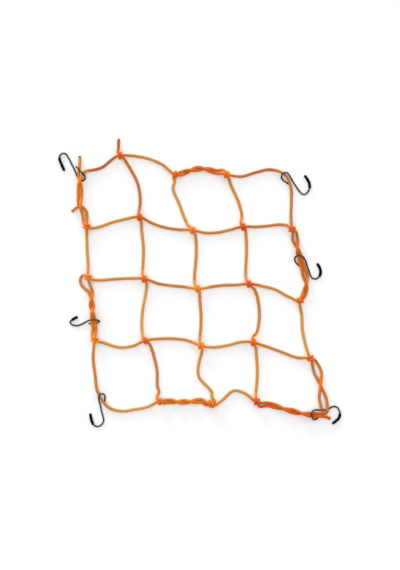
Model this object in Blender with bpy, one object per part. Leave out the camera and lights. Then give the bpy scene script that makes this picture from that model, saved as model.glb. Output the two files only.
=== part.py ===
"""Stretch cargo net of round cord, four cells by four, with six bent-wire S-hooks lying flat.

The net is three cords.  The border cord runs round the rectangle.  The column cord and the row
cord each run back and forth across it, wrap whatever they cross, and lie beside the border where
they pass from one line to the next.  Plan positions are in layout units, X right and Y up, and
heights are in metres above the surface on which the net lies.
"""

import math
from typing import NamedTuple

import bmesh
import bpy
import numpy as np
from mathutils import Matrix, Vector

# ---------------------------------------------------------------- driving dimensions, in metres
UNIT = 0.0016             # one layout unit; the net is about 240 units wide
CORD_R = 0.0024           # free cord radius
KNOT_R = 0.00185          # radius of the stretched cord inside a knot
KNOT_GAP = 0.00066        # clearance between turns and the cord that they grip
PAIR_GAP = 0.0004         # clearance between two cords twisted together
WIRE_R = 0.00115          # hook wire radius
TIP_R = 0.0022            # radius of the coated hook tip
TOUCH_GAP = 0.00035       # clearance between a hook and a cord

SIDES_HALF_ANGLE = math.radians(22.5)      # tubes have eight sides
LEVEL = math.cos(SIDES_HALF_ANGLE)         # height of a tube's axis over its lowest flat, per radius
FLAT_BAND = LEVEL - math.cos(2 * SIDES_HALF_ANGLE) + 0.01

KNOT_PITCH = 2 * KNOT_R + KNOT_GAP         # between axes of a turn and the gripped cord
KNOT_AXIS_Z = CORD_R * LEVEL + KNOT_PITCH  # height of the gripped cord's axis
PAIR_PITCH = 2 * CORD_R + PAIR_GAP         # between axes of two cords that touch
CORD_Z = CORD_R * LEVEL
WIRE_Z = WIRE_R * LEVEL
HOOK_LIFT = 2 * WIRE_R + TOUCH_GAP         # how far a cord rises to clear a wire beneath it
WIRE_OVER_Z = HOOK_LIFT + 2 * CORD_R + TOUCH_GAP + WIRE_R

ADVANCE = 1.05            # sideways travel of one turn, in knot pitches
PAIR_RISE = 1.14          # rise of the upper cord where a pair crosses, in pair pitches
PAIR_STEP = 3.6           # layout units between points along a pair
TURN_STEP = math.radians(45)

COMPASS = {"up": (0, 1), "down": (0, -1), "left": (-1, 0), "right": (1, 0)}


class Knot(NamedTuple):
    """A knot: where it is, the side its turns start from, the way they move, and how they start."""

    x: float
    y: float
    near: str = "up"
    lead: str = "right"
    first: str = "over"
    turns: int = 1


KNOTS = {
    "top_1": Knot(-79.5, 134.0, "down", "left", "over"),
    "top_2": Knot(-24.3, 115.3, "down", "right", "under"),
    "top_3": Knot(26.5, 115.3, "down", "left", "over"),
    "left_1": Knot(-113.0, 63.5, "right", "up", "over"),
    "cell_11": Knot(-60.2, 72.5),
    "cell_12": Knot(-7.2, 59.5),
    "cell_13": Knot(43.0, 63.0),
    "right_1": Knot(92.0, 60.5, "left", "down", "over"),
    "left_2": Knot(-111.5, 12.5, "right", "up", "over"),
    "cell_21": Knot(-55.4, 11.0),
    "cell_22": Knot(-2.2, 1.2),
    "cell_23": Knot(48.8, 6.0),
    "right_2": Knot(100.0, -10.3, "left", "up", "under"),
    "left_3": Knot(-105.0, -49.5, "right", "up", "over"),
    "cell_31": Knot(-54.3, -50.5),
    "cell_32": Knot(1.0, -55.5),
    "cell_33": Knot(53.3, -52.5),
    "right_3": Knot(110.0, -68.0, "left", "down", "over"),
    "bottom_1": Knot(-40.0, -111.0, "up", "right", "over"),
    "bottom_2": Knot(11.4, -113.6, "up", "left", "under", 2),
    "bottom_3": Knot(56.8, -111.5, "up", "right", "over"),
}

CORNERS = {
    "corner_tl": (-118.0, 116.5),
    "corner_tr": (85.5, 114.5),
    "corner_br": (125.5, -124.0),
    "corner_bl": (-91.5, -117.0),
    "joint": (-113.0, 78.0),
    "tail_top": (-80.8, 150.5),
}


class Span(NamedTuple):
    """A line between two stops, with its bow to the left of travel at its quarter points."""

    start: str
    end: str
    quarter: float
    half: float
    three_quarter: float


SPANS = (
    # rows, left to right
    Span("left_1", "cell_11", -1.5, 0.0, 1.0),
    Span("cell_11", "cell_12", -2.6, -3.6, -2.3),
    Span("cell_12", "cell_13", -3.2, -3.6, -1.7),
    Span("cell_13", "right_1", 0.9, 2.4, 3.4),
    Span("left_2", "cell_21", -1.3, -0.6, 0.4),
    Span("cell_21", "cell_22", -1.8, -1.6, -0.4),
    Span("cell_22", "cell_23", 0.8, 1.3, 0.4),
    Span("cell_23", "right_2", 2.2, 2.8, 1.3),
    Span("left_3", "cell_31", -3.3, -7.2, -5.5),
    Span("cell_31", "cell_32", 3.2, 4.5, 4.0),
    Span("cell_32", "cell_33", -2.3, -1.3, 1.3),
    Span("cell_33", "right_3", -0.3, -1.5, -3.5),
    # columns, top to bottom
    Span("top_1", "cell_11", 5.2, 8.2, 6.3),
    Span("cell_11", "cell_21", 0.3, 1.2, 0.3),
    Span("cell_21", "cell_31", 0.0, -2.5, -3.1),
    Span("cell_31", "bottom_1", 3.7, 4.2, 3.2),
    Span("top_2", "cell_12", -4.0, -5.2, -3.7),
    Span("cell_12", "cell_22", 1.5, 0.6, -1.3),
    Span("cell_22", "cell_32", 0.7, 1.6, 1.0),
    Span("cell_32", "bottom_2", -5.2, -7.8, -3.1),
    Span("top_3", "cell_13", 0.6, 3.0, 3.5),
    Span("cell_13", "cell_23", 1.1, 0.4, -1.0),
    Span("cell_23", "cell_33", 6.9, 8.3, 6.6),
    Span("cell_33", "bottom_3", 1.7, 2.2, 1.2),
    # border, clockwise from the top left corner
    Span("corner_tl", "top_1", -1.3, -2.7, 0.0),
    Span("top_1", "top_2", 4.8, 6.5, 5.0),
    Span("top_2", "top_3", 3.6, 6.0, 3.4),
    Span("top_3", "corner_tr", -1.6, 2.8, 5.7),
    Span("corner_tr", "right_1", 3.8, 2.5, 0.5),
    Span("right_1", "right_2", 2.9, 5.8, 8.0),
    Span("right_2", "right_3", -0.9, -2.8, -2.3),
    Span("right_3", "corner_br", 3.6, 2.7, 1.2),
    Span("corner_br", "bottom_3", 3.3, 2.8, 1.0),
    Span("bottom_3", "bottom_2", -8.9, -12.0, -3.5),
    Span("bottom_2", "bottom_1", -2.2, -0.7, -0.4),
    Span("bottom_1", "corner_bl", 4.1, 5.2, 5.4),
    Span("corner_bl", "left_3", 7.4, 6.8, 5.3),
    Span("left_3", "left_2", -0.8, -0.5, -1.0),
    Span("left_2", "left_1", 0.0, 0.5, 0.4),
    Span("left_1", "joint", 0.0, 0.0, 0.0),
    # tail of the column cord
    Span("top_1", "tail_top", 0.0, 0.0, 0.0),
)


class PairStation(NamedTuple):
    """A place along a pair: share of the span, half turns of twist so far, spread in pitches."""

    share: float
    half_turns: float
    spread: float


PAIRS = {
    ("top_2", "top_3"): (
        PairStation(0.16, 0.0, 1.16),
        PairStation(0.29, 0.5, 1.12),
        PairStation(0.42, 1.0, 1.16),
        PairStation(0.56, 1.5, 1.12),
        PairStation(0.69, 2.0, 1.10),
        PairStation(0.78, 2.0, 1.08),
    ),
    ("right_1", "right_2"): (
        PairStation(0.15, 0.0, 1.75),
        PairStation(0.262, 0.5, 1.12),
        PairStation(0.355, 1.0, 1.04),
        PairStation(0.52, 1.0, 1.08),
        PairStation(0.66, 1.0, 1.46),
        PairStation(0.78, 1.5, 1.14),
        PairStation(0.88, 2.0, 1.10),
    ),
    ("right_3", "corner_br"): (
        PairStation(0.18, 0.0, 2.20),
        PairStation(0.27, 0.0, 2.40),
        PairStation(0.49, 0.5, 1.50),
        PairStation(0.74, 1.0, 2.35),
        PairStation(0.85, 1.0, 2.20),
        PairStation(0.92, 1.0, 1.75),
    ),
    ("corner_br", "bottom_3"): (
        PairStation(0.08, 0.0, 1.06),
        PairStation(0.20, 0.0, 1.06),
        PairStation(0.33, 0.5, 1.12),
        PairStation(0.46, 1.0, 1.12),
        PairStation(0.60, 1.5, 1.12),
        PairStation(0.74, 2.0, 1.16),
        PairStation(0.83, 2.0, 1.10),
    ),
    ("bottom_2", "bottom_1"): (
        PairStation(0.18, 0.0, 1.16),
        PairStation(0.27, 0.0, 1.12),
        PairStation(0.40, 0.5, 1.12),
        PairStation(0.53, 1.0, 1.12),
        PairStation(0.66, 1.5, 1.12),
        PairStation(0.79, 2.0, 1.12),
    ),
    ("left_3", "left_2"): (
        PairStation(0.16, 0.0, 1.12),
        PairStation(0.35, 0.0, 1.06),
        PairStation(0.45, 0.5, 1.24),
        PairStation(0.55, 1.0, 1.22),
        PairStation(0.65, 1.5, 1.22),
        PairStation(0.75, 2.0, 1.18),
    ),
}


class Lift(NamedTuple):
    """A place where the cords are raised over a hook's wire."""

    x: float
    y: float
    inner: float
    outer: float


LIFTS = (
    Lift(-119.5, 114.0, 8.0, 20.0),
    Lift(86.0, 111.0, 9.0, 20.0),
    Lift(-106.0, -31.0, 6.5, 14.0),
    Lift(-98.0, -108.0, 8.0, 20.0),
    Lift(99.0, 29.0, 8.0, 18.0),
    Lift(118.0, -122.0, 12.0, 24.0),
)


class WirePoint(NamedTuple):
    """A point on a hook's wire; level 0 is on the surface and 1 is over the lifted cord."""

    x: float
    y: float
    level: float = 0.0


HOOKS = {
    "top_left": (
        WirePoint(-123.8, 123.0, 0.95),
        WirePoint(-121.0, 120.4, 1.0),
        WirePoint(-119.2, 118.3, 1.0),
        WirePoint(-117.2, 116.6, 1.08),
        WirePoint(-115.0, 114.2, 0.8),
        WirePoint(-114.9, 111.4, 0.4),
        WirePoint(-116.6, 109.3, 0.0),
        WirePoint(-119.6, 110.2, 0.0),
        WirePoint(-122.4, 113.2, 0.0),
        WirePoint(-125.2, 119.5, 0.0),
        WirePoint(-130.0, 129.5, 0.0),
        WirePoint(-132.7, 134.3, 0.0),
        WirePoint(-134.1, 135.9, 0.0),
        WirePoint(-136.0, 136.6, 0.0),
        WirePoint(-138.3, 136.2, 0.0),
        WirePoint(-139.8, 134.8, 0.0),
        WirePoint(-140.4, 132.4, 0.0),
    ),
    "top_right": (
        WirePoint(89.6, 105.3, 0.0),
        WirePoint(87.0, 107.0, 0.0),
        WirePoint(84.0, 109.0, 0.0),
        WirePoint(82.2, 110.7, 0.1),
        WirePoint(81.3, 112.8, 0.5),
        WirePoint(82.0, 115.2, 0.9),
        WirePoint(84.0, 116.9, 1.0),
        WirePoint(86.4, 117.0, 1.0),
        WirePoint(89.0, 114.6, 0.7),
        WirePoint(91.6, 110.6, 0.1),
        WirePoint(94.0, 106.7, 0.0),
        WirePoint(97.0, 102.0, 0.0),
        WirePoint(100.0, 98.0, 0.0),
        WirePoint(102.0, 96.1, 0.0),
        WirePoint(104.0, 95.4, 0.0),
        WirePoint(106.2, 96.4, 0.0),
        WirePoint(108.2, 98.6, 0.0),
        WirePoint(109.4, 101.8, 0.0),
    ),
    "left_middle": (
        WirePoint(-111.3, -33.6, 0.0),
        WirePoint(-108.0, -33.2, 0.0),
        WirePoint(-104.5, -32.9, 0.0),
        WirePoint(-101.4, -32.2, 0.15),
        WirePoint(-100.2, -31.2, 0.55),
        WirePoint(-101.4, -30.2, 1.0),
        WirePoint(-104.5, -29.6, 1.15),
        WirePoint(-108.0, -29.6, 1.15),
        WirePoint(-110.6, -30.3, 1.0),
        WirePoint(-112.6, -31.3, 0.6),
        WirePoint(-115.0, -32.5, 0.15),
        WirePoint(-118.0, -34.0, 0.0),
        WirePoint(-121.0, -35.3, 0.0),
        WirePoint(-123.0, -35.7, 0.0),
        WirePoint(-125.5, -35.5, 0.0),
        WirePoint(-127.6, -34.9, 0.0),
        WirePoint(-129.2, -33.8, 0.0),
        WirePoint(-129.8, -32.3, 0.0),
        WirePoint(-129.2, -30.9, 0.0),
        WirePoint(-128.2, -30.1, 0.0),
    ),
    "bottom_left": (
        WirePoint(-95.4, -112.0, 0.0),
        WirePoint(-95.1, -109.5, 0.0),
        WirePoint(-94.9, -107.1, 0.15),
        WirePoint(-95.2, -105.0, 0.5),
        WirePoint(-96.6, -103.6, 0.9),
        WirePoint(-98.5, -103.4, 1.0),
        WirePoint(-100.2, -104.6, 1.0),
        WirePoint(-101.0, -107.0, 1.0),
        WirePoint(-100.9, -110.0, 0.6),
        WirePoint(-100.0, -114.0, 0.0),
        WirePoint(-98.5, -121.0, 0.0),
        WirePoint(-96.8, -127.0, 0.0),
        WirePoint(-96.3, -130.0, 0.0),
        WirePoint(-96.8, -132.2, 0.0),
        WirePoint(-98.2, -134.3, 0.0),
        WirePoint(-100.2, -135.8, 0.0),
        WirePoint(-102.5, -136.4, 0.0),
        WirePoint(-104.8, -135.9, 0.0),
        WirePoint(-106.6, -134.4, 0.0),
    ),
    "right_middle": (
        WirePoint(101.0, 22.5, 0.0),
        WirePoint(98.5, 25.0, 0.0),
        WirePoint(96.0, 27.2, 0.0),
        WirePoint(94.7, 29.8, 0.2),
        WirePoint(94.6, 32.2, 0.6),
        WirePoint(96.7, 34.2, 1.08),
        WirePoint(99.6, 34.6, 1.12),
        WirePoint(102.6, 33.2, 1.0),
        WirePoint(104.8, 30.0, 0.6),
        WirePoint(106.2, 26.8, 0.2),
        WirePoint(107.4, 23.2, 0.0),
        WirePoint(108.8, 19.4, 0.0),
        WirePoint(110.2, 15.0, 0.0),
        WirePoint(111.8, 12.4, 0.0),
        WirePoint(114.2, 11.1, 0.0),
        WirePoint(117.0, 11.5, 0.0),
        WirePoint(119.2, 13.6, 0.0),
    ),
    "bottom_right": (
        WirePoint(118.4, -127.4, 0.0),
        WirePoint(116.6, -128.9, 0.0),
        WirePoint(114.4, -129.5, 0.2),
        WirePoint(112.8, -128.6, 0.72),
        WirePoint(111.8, -126.5, 1.05),
        WirePoint(111.0, -124.0, 1.0),
        WirePoint(111.6, -121.4, 1.0),
        WirePoint(113.4, -120.0, 0.8),
        WirePoint(116.5, -119.7, 0.3),
        WirePoint(120.0, -120.0, 0.0),
        WirePoint(124.0, -120.0, 0.0),
        WirePoint(128.0, -119.3, 0.0),
        WirePoint(130.2, -117.9, 0.0),
        WirePoint(132.0, -116.8, 0.0),
        WirePoint(134.3, -116.4, 0.0),
        WirePoint(136.8, -117.0, 0.0),
        WirePoint(138.6, -118.9, 0.0),
        WirePoint(139.6, -121.6, 0.0),
        WirePoint(139.8, -123.6, 0.0),
    ),
}

# The coated end of each hook, after the last point of its wire.
TIPS = {
    "top_left": (WirePoint(-140.2, 130.0), WirePoint(-138.9, 126.8), WirePoint(-137.3, 123.0),
                 WirePoint(-135.9, 120.2)),
    "top_right": (WirePoint(109.6, 104.2), WirePoint(109.0, 107.4), WirePoint(107.2, 110.8),
                  WirePoint(105.2, 113.6)),
    "left_middle": (WirePoint(-127.1, -29.4), WirePoint(-125.2, -28.3), WirePoint(-123.3, -27.3)),
    "bottom_left": (WirePoint(-107.6, -132.6), WirePoint(-108.4, -130.0), WirePoint(-109.0, -127.4),
                    WirePoint(-109.4, -124.6)),
    "right_middle": (WirePoint(120.2, 15.8), WirePoint(120.5, 19.0), WirePoint(119.5, 22.4),
                     WirePoint(117.6, 25.6)),
    "bottom_right": (WirePoint(139.6, -125.8), WirePoint(138.6, -128.3), WirePoint(136.2, -130.6),
                     WirePoint(133.3, -132.9)),
}

# ------------------------------------------------------------------------ plan geometry helpers


def stop(name):
    """Plan position of a knot or corner, in layout units."""
    if name in KNOTS:
        return np.array(KNOTS[name][:2])
    return np.array(CORNERS[name])


def find_span(start, end):
    """The span between two stops and whether it is travelled backwards."""
    for span in SPANS:
        if (span.start, span.end) == (start, end):
            return span, False
        if (span.start, span.end) == (end, start):
            return span, True
    raise KeyError(f"no span from {start} to {end}")


def left_of(direction):
    """The unit vector to the left of a plan direction."""
    unit = direction / np.linalg.norm(direction)
    return np.array((-unit[1], unit[0]))


def span_point(start, end, share):
    """Plan point at a share of the way from start to end, bowed as the table says."""
    span, backwards = find_span(start, end)
    if backwards:
        share = 1 - share
    first, last = stop(span.start), stop(span.end)
    bows = (0.0, span.quarter, span.half, span.three_quarter, 0.0)
    knots = (0.0, 0.25, 0.5, 0.75, 1.0)
    bow = 0.0
    for i, value in enumerate(bows):
        weight = 1.0
        for j, other in enumerate(knots):
            if j != i:
                weight *= (share - other) / (knots[i] - other)
        bow += value * weight
    return first + (last - first) * share + left_of(last - first) * bow


def heading(before, name, after):
    """Unit direction of a cord as it passes through a stop."""
    step = 0.12
    direction = span_point(name, after, step) - span_point(before, name, 1 - step)
    return direction / np.linalg.norm(direction)


def lifted(x, y):
    """Height in metres that the hooks add to a cord at a plan position."""
    lift = 0.0
    for zone in LIFTS:
        distance = math.hypot(x - zone.x, y - zone.y)
        share = min(1.0, max(0.0, (zone.outer - distance) / (zone.outer - zone.inner)))
        lift = max(lift, HOOK_LIFT * share * share * (3 - 2 * share))
    return lift


def cord_radius(x, y):
    """Cord radius at a plan position: drawn down in a knot, full between knots."""
    pitch = KNOT_PITCH / UNIT
    nearest = min(math.hypot(x - knot.x, y - knot.y) for knot in KNOTS.values())
    share = min(1.0, max(0.0, nearest / pitch - 2.2) / 2.0)
    return KNOT_R + (CORD_R - KNOT_R) * share


# -------------------------------------------------------------------------- sections of a route


def at_height(plan, height):
    """A route point from a plan position and a height."""
    return np.array((plan[0], plan[1], height))


def crossed_direction(name):
    """Unit direction of the cord that a knot grips, where it passes through."""
    for line in (*ROW_STOPS, BORDER_STOPS):
        if name in line[1:-1]:
            place = line.index(name)
            return heading(line[place - 1], name, line[place + 1])
    raise KeyError(name)


def gripped(name):
    """Points of the cord that passes straight through a knot, in the order of its line."""
    knot = KNOTS[name]
    along = crossed_direction(name)
    flat = (0.5 * ADVANCE * knot.turns + 0.5) * KNOT_PITCH / UNIT
    shifts = np.linspace(-flat, flat, 1 + 2 * knot.turns)
    return [at_height(stop(name) + along * shift, KNOT_AXIS_Z) for shift in shifts]


class LegPoint(NamedTuple):
    """A point where a cord nears the knot that it wraps.

    Its distance and rise are in knot pitches, and its shift beside the cord's own line, and its
    least distance from the middle of the knot, are shares of half the width of the turns.
    """

    distance: float
    shift: float
    least: float
    rise: float


OVER_LEGS = (
    LegPoint(5.4, 0.42, -1.0, 0.0),
    LegPoint(3.4, 0.66, -1.0, 0.0),
    LegPoint(1.90, 0.84, 0.95, 0.85),
)
UNDER_LEGS = (
    LegPoint(5.2, 0.42, -1.0, 0.0),
    LegPoint(2.6, 0.72, -1.0, 0.0),
    LegPoint(1.15, 0.90, 1.00, 0.0),
)


def turns(name, near_stop, leave):
    """Points of the cord that wraps a knot, from its near side to its far side.

    It comes from near_stop, and leaves for another stop, "aside" along the cord that it grips, or
    into a "loop".
    """
    knot = KNOTS[name]
    pitch = KNOT_PITCH / UNIT
    along = crossed_direction(name)
    lead = along * np.sign(along @ COMPASS[knot.lead])
    near = left_of(along)
    near = near * np.sign(near @ COMPASS[knot.near])
    over = knot.first == "over"
    begin, finish = (math.radians(45), math.radians(135)) if over else (math.radians(-90),) * 2
    sweep = finish - begin + 2 * math.pi * knot.turns
    half = 0.5 * ADVANCE * sweep / (2 * math.pi)

    def point(side, ahead, rise):
        return at_height(stop(name) + (near * side + lead * ahead) * pitch,
                         CORD_Z + rise * KNOT_PITCH)

    def leg(other, row, way):
        share = row.distance * pitch / np.linalg.norm(stop(other) - stop(name))
        place = (span_point(name, other, share) - stop(name)) / pitch
        shift = max(way * (place @ lead) + half * row.shift, half * row.least)
        return point(place @ near, way * shift, row.rise)

    steps = round(sweep / TURN_STEP)
    circle = []
    for i in range(steps + 1):
        angle = begin + (sweep if over else -sweep) * i / steps
        ahead = -half + 2 * half * i / steps
        circle.append(point(math.cos(angle), ahead, 1 + math.sin(angle)))
    legs = OVER_LEGS if over else UNDER_LEGS
    lead_in = [leg(near_stop, row, -1) for row in legs]
    if leave == "loop":
        return lead_in + circle
    if leave != "aside":
        return lead_in + circle + [leg(leave, row, 1) for row in reversed(legs)]
    if over:
        aside = [point(-1.1, half + 0.45, 1.2), point(-1.3, half + 1.15, 0.5)]
    else:
        aside = [point(-0.95, half + 0.35, 0.0)]
    return lead_in + circle + aside


def single(start, end):
    """Points of one cord lying between two stops."""
    return [at_height(span_point(start, end, share), CORD_Z) for share in (0.25, 0.5, 0.75)]


def halfway(start, end):
    """The middle point of one cord lying between two stops."""
    return at_height(span_point(start, end, 0.5), CORD_Z)


def station_value(stations, share, column):
    """A column of a pair's table at a share of the span, eased between its rows."""
    for before, after in zip(stations, stations[1:]):
        if share <= after.share:
            part = (share - before.share) / (after.share - before.share)
            if column == "spread":
                part = part * part * (3 - 2 * part)
            low, high = getattr(before, column), getattr(after, column)
            return low + (high - low) * part
    return getattr(stations[-1], column)


def pair(start, end, strand):
    """Points of one of two cords lying together, strand 1 outside at the start, -1 inside."""
    stations = PAIRS[(start, end)]
    length = np.linalg.norm(stop(end) - stop(start))
    first, last = stations[0].share, stations[-1].share
    count = max(2, round((last - first) * length / PAIR_STEP))
    points = []
    for i in range(count + 1):
        share = first + (last - first) * i / count
        half_turns = station_value(stations, share, "half_turns")
        spread = station_value(stations, share, "spread") * PAIR_PITCH / UNIT
        forward = span_point(start, end, share + 0.01) - span_point(start, end, share - 0.01)
        offset = left_of(forward) * (0.5 * strand * spread * math.cos(math.pi * half_turns))
        over = 1 if math.floor(half_turns) % 2 == 0 else -1
        rise = abs(math.sin(math.pi * half_turns)) ** 1.4 if over == strand else 0.0
        points.append(at_height(span_point(start, end, share) + offset,
                                CORD_Z + PAIR_RISE * PAIR_PITCH * rise))
    return points


class FreePoint(NamedTuple):
    """A hand-placed point of a cord; rise is its height over the surface, in pair pitches."""

    x: float
    y: float
    rise: float = 0.0


def free(rows):
    """Route points from a short table."""
    return [at_height((row.x, row.y), CORD_Z + row.rise * PAIR_PITCH) for row in rows]


# ------------------------------------------------------------------------------- the three cords

ROW_STOPS = (
    ("left_1", "cell_11", "cell_12", "cell_13", "right_1"),
    ("left_2", "cell_21", "cell_22", "cell_23", "right_2"),
    ("left_3", "cell_31", "cell_32", "cell_33", "right_3"),
)
COLUMN_STOPS = (
    ("top_1", "cell_11", "cell_21", "cell_31", "bottom_1"),
    ("top_2", "cell_12", "cell_22", "cell_32", "bottom_2"),
    ("top_3", "cell_13", "cell_23", "cell_33", "bottom_3"),
)
BORDER_STOPS = (
    "corner_tl", "top_1", "top_2", "top_3", "corner_tr", "right_1", "right_2", "right_3",
    "corner_br", "bottom_3", "bottom_2", "bottom_1", "corner_bl", "left_3", "left_2", "left_1",
    "joint",
)

BORDER_START = (
    FreePoint(-121.3, 85.4),
    FreePoint(-121.9, 90.0),
    FreePoint(-121.8, 95.0),
    FreePoint(-121.6, 100.0),
    FreePoint(-121.2, 104.2, 0.65),
    FreePoint(-119.9, 108.2, 1.14),
    FreePoint(-118.5, 112.0, 0.75),
    FreePoint(-117.5, 114.9, 0.1),
    FreePoint(-115.9, 117.3),
    FreePoint(-113.2, 118.9),
)
BORDER_AT_CORNER_BR = (
    FreePoint(127.2, -120.6),
    FreePoint(125.8, -122.7),
    FreePoint(123.4, -123.1),
)
BORDER_END = (
    FreePoint(-112.7, 74.5),
    FreePoint(-113.2, 77.3),
    FreePoint(-114.4, 79.8),
    FreePoint(-116.2, 81.8),
    FreePoint(-118.5, 83.2),
    FreePoint(-121.0, 83.4),
    FreePoint(-123.3, 82.5),
    FreePoint(-125.4, 80.8),
    FreePoint(-127.6, 78.7),
)
COLUMN_END = (
    FreePoint(124.0, -126.4),
    FreePoint(127.0, -127.1),
    FreePoint(129.7, -128.3),
)
ROW_LOOP = (
    FreePoint(-113.6, 0.2),
    FreePoint(-115.6, 1.6),
    FreePoint(-117.6, 3.6),
    FreePoint(-119.1, 6.2),
    FreePoint(-119.8, 9.0),
    FreePoint(-119.4, 11.8),
    FreePoint(-118.0, 14.0, 0.15),
    FreePoint(-115.9, 14.9, 0.75),
)
ROW_END = (
    FreePoint(-117.6, 77.0, 0.25),
    FreePoint(-118.9, 80.6, 0.95),
    FreePoint(-119.4, 83.6, 1.12),
    FreePoint(-119.1, 87.5, 0.8),
    FreePoint(-118.4, 92.0, 0.1),
    FreePoint(-118.1, 96.0),
    FreePoint(-118.1, 100.5),
    FreePoint(-118.6, 104.6),
    FreePoint(-119.8, 108.6),
    FreePoint(-120.9, 112.0),
    FreePoint(-121.1, 116.0),
    FreePoint(-120.4, 121.5),
    FreePoint(-120.0, 127.5),
    FreePoint(-120.2, 133.5),
)


def crossing_line(stops):
    """Points of a row between the legs of its two end knots, gripped at each cell knot."""
    points = []
    for start, end in zip(stops, stops[1:]):
        points += single(start, end)
        if end != stops[-1]:
            points += gripped(end)
    return points[1:-1]


def wrapping_line(stops):
    """Points of a column between its two ends, wrapping each row on the way."""
    points = [halfway(stops[0], stops[1])]
    for start, middle, end in zip(stops, stops[1:], stops[2:]):
        points += turns(middle, start, end) + [halfway(middle, end)]
    return points


def border_route():
    """The border cord, clockwise from the joint on the left side."""
    points = free(BORDER_START)
    for start, end in zip(BORDER_STOPS, BORDER_STOPS[1:-1]):
        points += pair(start, end, -1) if (start, end) in PAIRS else single(start, end)
        if end in KNOTS:
            points += gripped(end)
        elif end == "corner_br":
            points += free(BORDER_AT_CORNER_BR)
        else:
            points.append(at_height(stop(end), CORD_Z))
    return points + free(BORDER_END)


def column_route():
    """The column cord, from its tail at the top left to its stub at the bottom right."""
    points = [at_height(stop("tail_top"), CORD_Z)] + turns("top_1", "cell_11", "tail_top")[::-1]
    points += wrapping_line(COLUMN_STOPS[0]) + turns("bottom_1", "cell_31", "aside")
    points += pair("bottom_2", "bottom_1", 1)[::-1]
    points += turns("bottom_2", "cell_32", "aside")[::-1]
    points += wrapping_line(COLUMN_STOPS[1])[::-1] + turns("top_2", "cell_12", "aside")
    points += pair("top_2", "top_3", 1)
    points += turns("top_3", "cell_13", "aside")[::-1]
    points += wrapping_line(COLUMN_STOPS[2]) + turns("bottom_3", "cell_33", "aside")
    return points + pair("corner_br", "bottom_3", 1)[::-1] + free(COLUMN_END)


def row_route():
    """The row cord, from the bottom right corner to its tail at the top left."""
    points = pair("right_3", "corner_br", 1)[::-1]
    points += turns("right_3", "cell_33", "aside")[::-1]
    points += crossing_line(ROW_STOPS[2])[::-1] + turns("left_3", "cell_31", "aside")
    points += pair("left_3", "left_2", 1) + free(ROW_LOOP)
    points += turns("left_2", "cell_21", "loop")[::-1]
    points += crossing_line(ROW_STOPS[1]) + turns("right_2", "cell_23", "aside")
    points += pair("right_1", "right_2", 1)[::-1]
    points += turns("right_1", "cell_13", "aside")[::-1]
    points += crossing_line(ROW_STOPS[0])[::-1] + turns("left_1", "cell_11", "aside")
    return points + free(ROW_END)


# ------------------------------------------------------------------------ smoothing and meshing


def smooth(points, step):
    """A curve through points: rounded in plan, and never past a point's height."""
    points = np.array(points)
    plan = points[:, :2] * UNIT
    heights = points[:, 2]
    full = np.column_stack((plan, heights))
    chords = np.linalg.norm(np.diff(full, axis=0), axis=1)
    rises = np.diff(heights) / chords
    slopes = np.zeros(len(points))
    for i in range(1, len(points) - 1):
        if rises[i - 1] * rises[i] > 0:
            slopes[i] = 2 * rises[i - 1] * rises[i] / (rises[i - 1] + rises[i])
    knots = np.concatenate(([0.0], np.cumsum(np.sqrt(chords))))
    tangents = np.zeros_like(plan)
    for i in range(len(points)):
        low, high = max(0, i - 1), min(len(points) - 1, i + 1)
        if low == i or high == i:
            tangents[i] = (plan[high] - plan[low]) / (knots[high] - knots[low])
            continue
        before, after = knots[i] - knots[low], knots[high] - knots[i]
        back = (plan[i] - plan[low]) / before
        ahead = (plan[high] - plan[i]) / after
        tangents[i] = (back * after + ahead * before) / (before + after)
    result = [full[0]]
    for i, chord in enumerate(chords):
        width = knots[i + 1] - knots[i]
        count = max(2, math.ceil(chord / step))
        for k in range(1, count + 1):
            t = k / count
            h00 = (1 + 2 * t) * (1 - t) ** 2
            h10 = t * (1 - t) ** 2
            h01 = t * t * (3 - 2 * t)
            h11 = t * t * (t - 1)
            flat = (h00 * plan[i] + h01 * plan[i + 1]
                    + width * (h10 * tangents[i] + h11 * tangents[i + 1]))
            height = (h00 * heights[i] + h01 * heights[i + 1]
                      + chord * (h10 * slopes[i] + h11 * slopes[i + 1]))
            result.append(np.array((flat[0], flat[1], height)))
    return np.array(result)


def thin_out(points, tolerance):
    """Keep only the points that a polyline needs to stay within a tolerance of the curve."""
    keep = {0, len(points) - 1}
    stack = [(0, len(points) - 1)]
    while stack:
        first, last = stack.pop()
        if last - first < 2:
            continue
        base = points[last] - points[first]
        length = np.linalg.norm(base)
        inner = points[first + 1:last] - points[first]
        along = np.clip(inner @ base / max(length * length, 1e-12), 0, 1)
        gaps = np.linalg.norm(inner - along[:, None] * base, axis=1)
        worst = int(np.argmax(gaps))
        if gaps[worst] > tolerance:
            middle = first + 1 + worst
            keep.add(middle)
            stack += [(first, middle), (middle, last)]
    return points[sorted(keep)]


def cord_path(route):
    """A cord's axis in metres, raised where a hook's wire passes beneath it."""
    points = smooth(route, 0.5 * UNIT)
    for point in points:
        point[2] += lifted(point[0] / UNIT, point[1] / UNIT)
    return thin_out(points, 0.0004)


def hook_paths(place):
    """The axes of a hook's bare wire and of its coated tip, in metres."""
    wire = HOOKS[place]
    heights = [WIRE_Z + row.level * (WIRE_OVER_Z - WIRE_Z) for row in wire[:-1]]
    heights += [TIP_R * LEVEL] * (1 + len(TIPS[place]))
    rows = wire + TIPS[place]
    points = smooth([at_height((row.x, row.y), z) for row, z in zip(rows, heights)], 0.3 * UNIT)
    start = np.array((wire[-1].x, wire[-1].y)) * UNIT
    cut = int(np.argmin(np.linalg.norm(points[:, :2] - start, axis=1)))
    return thin_out(points[:cut + 1], 0.0002), thin_out(points[cut + 2:], 0.0002)


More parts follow.
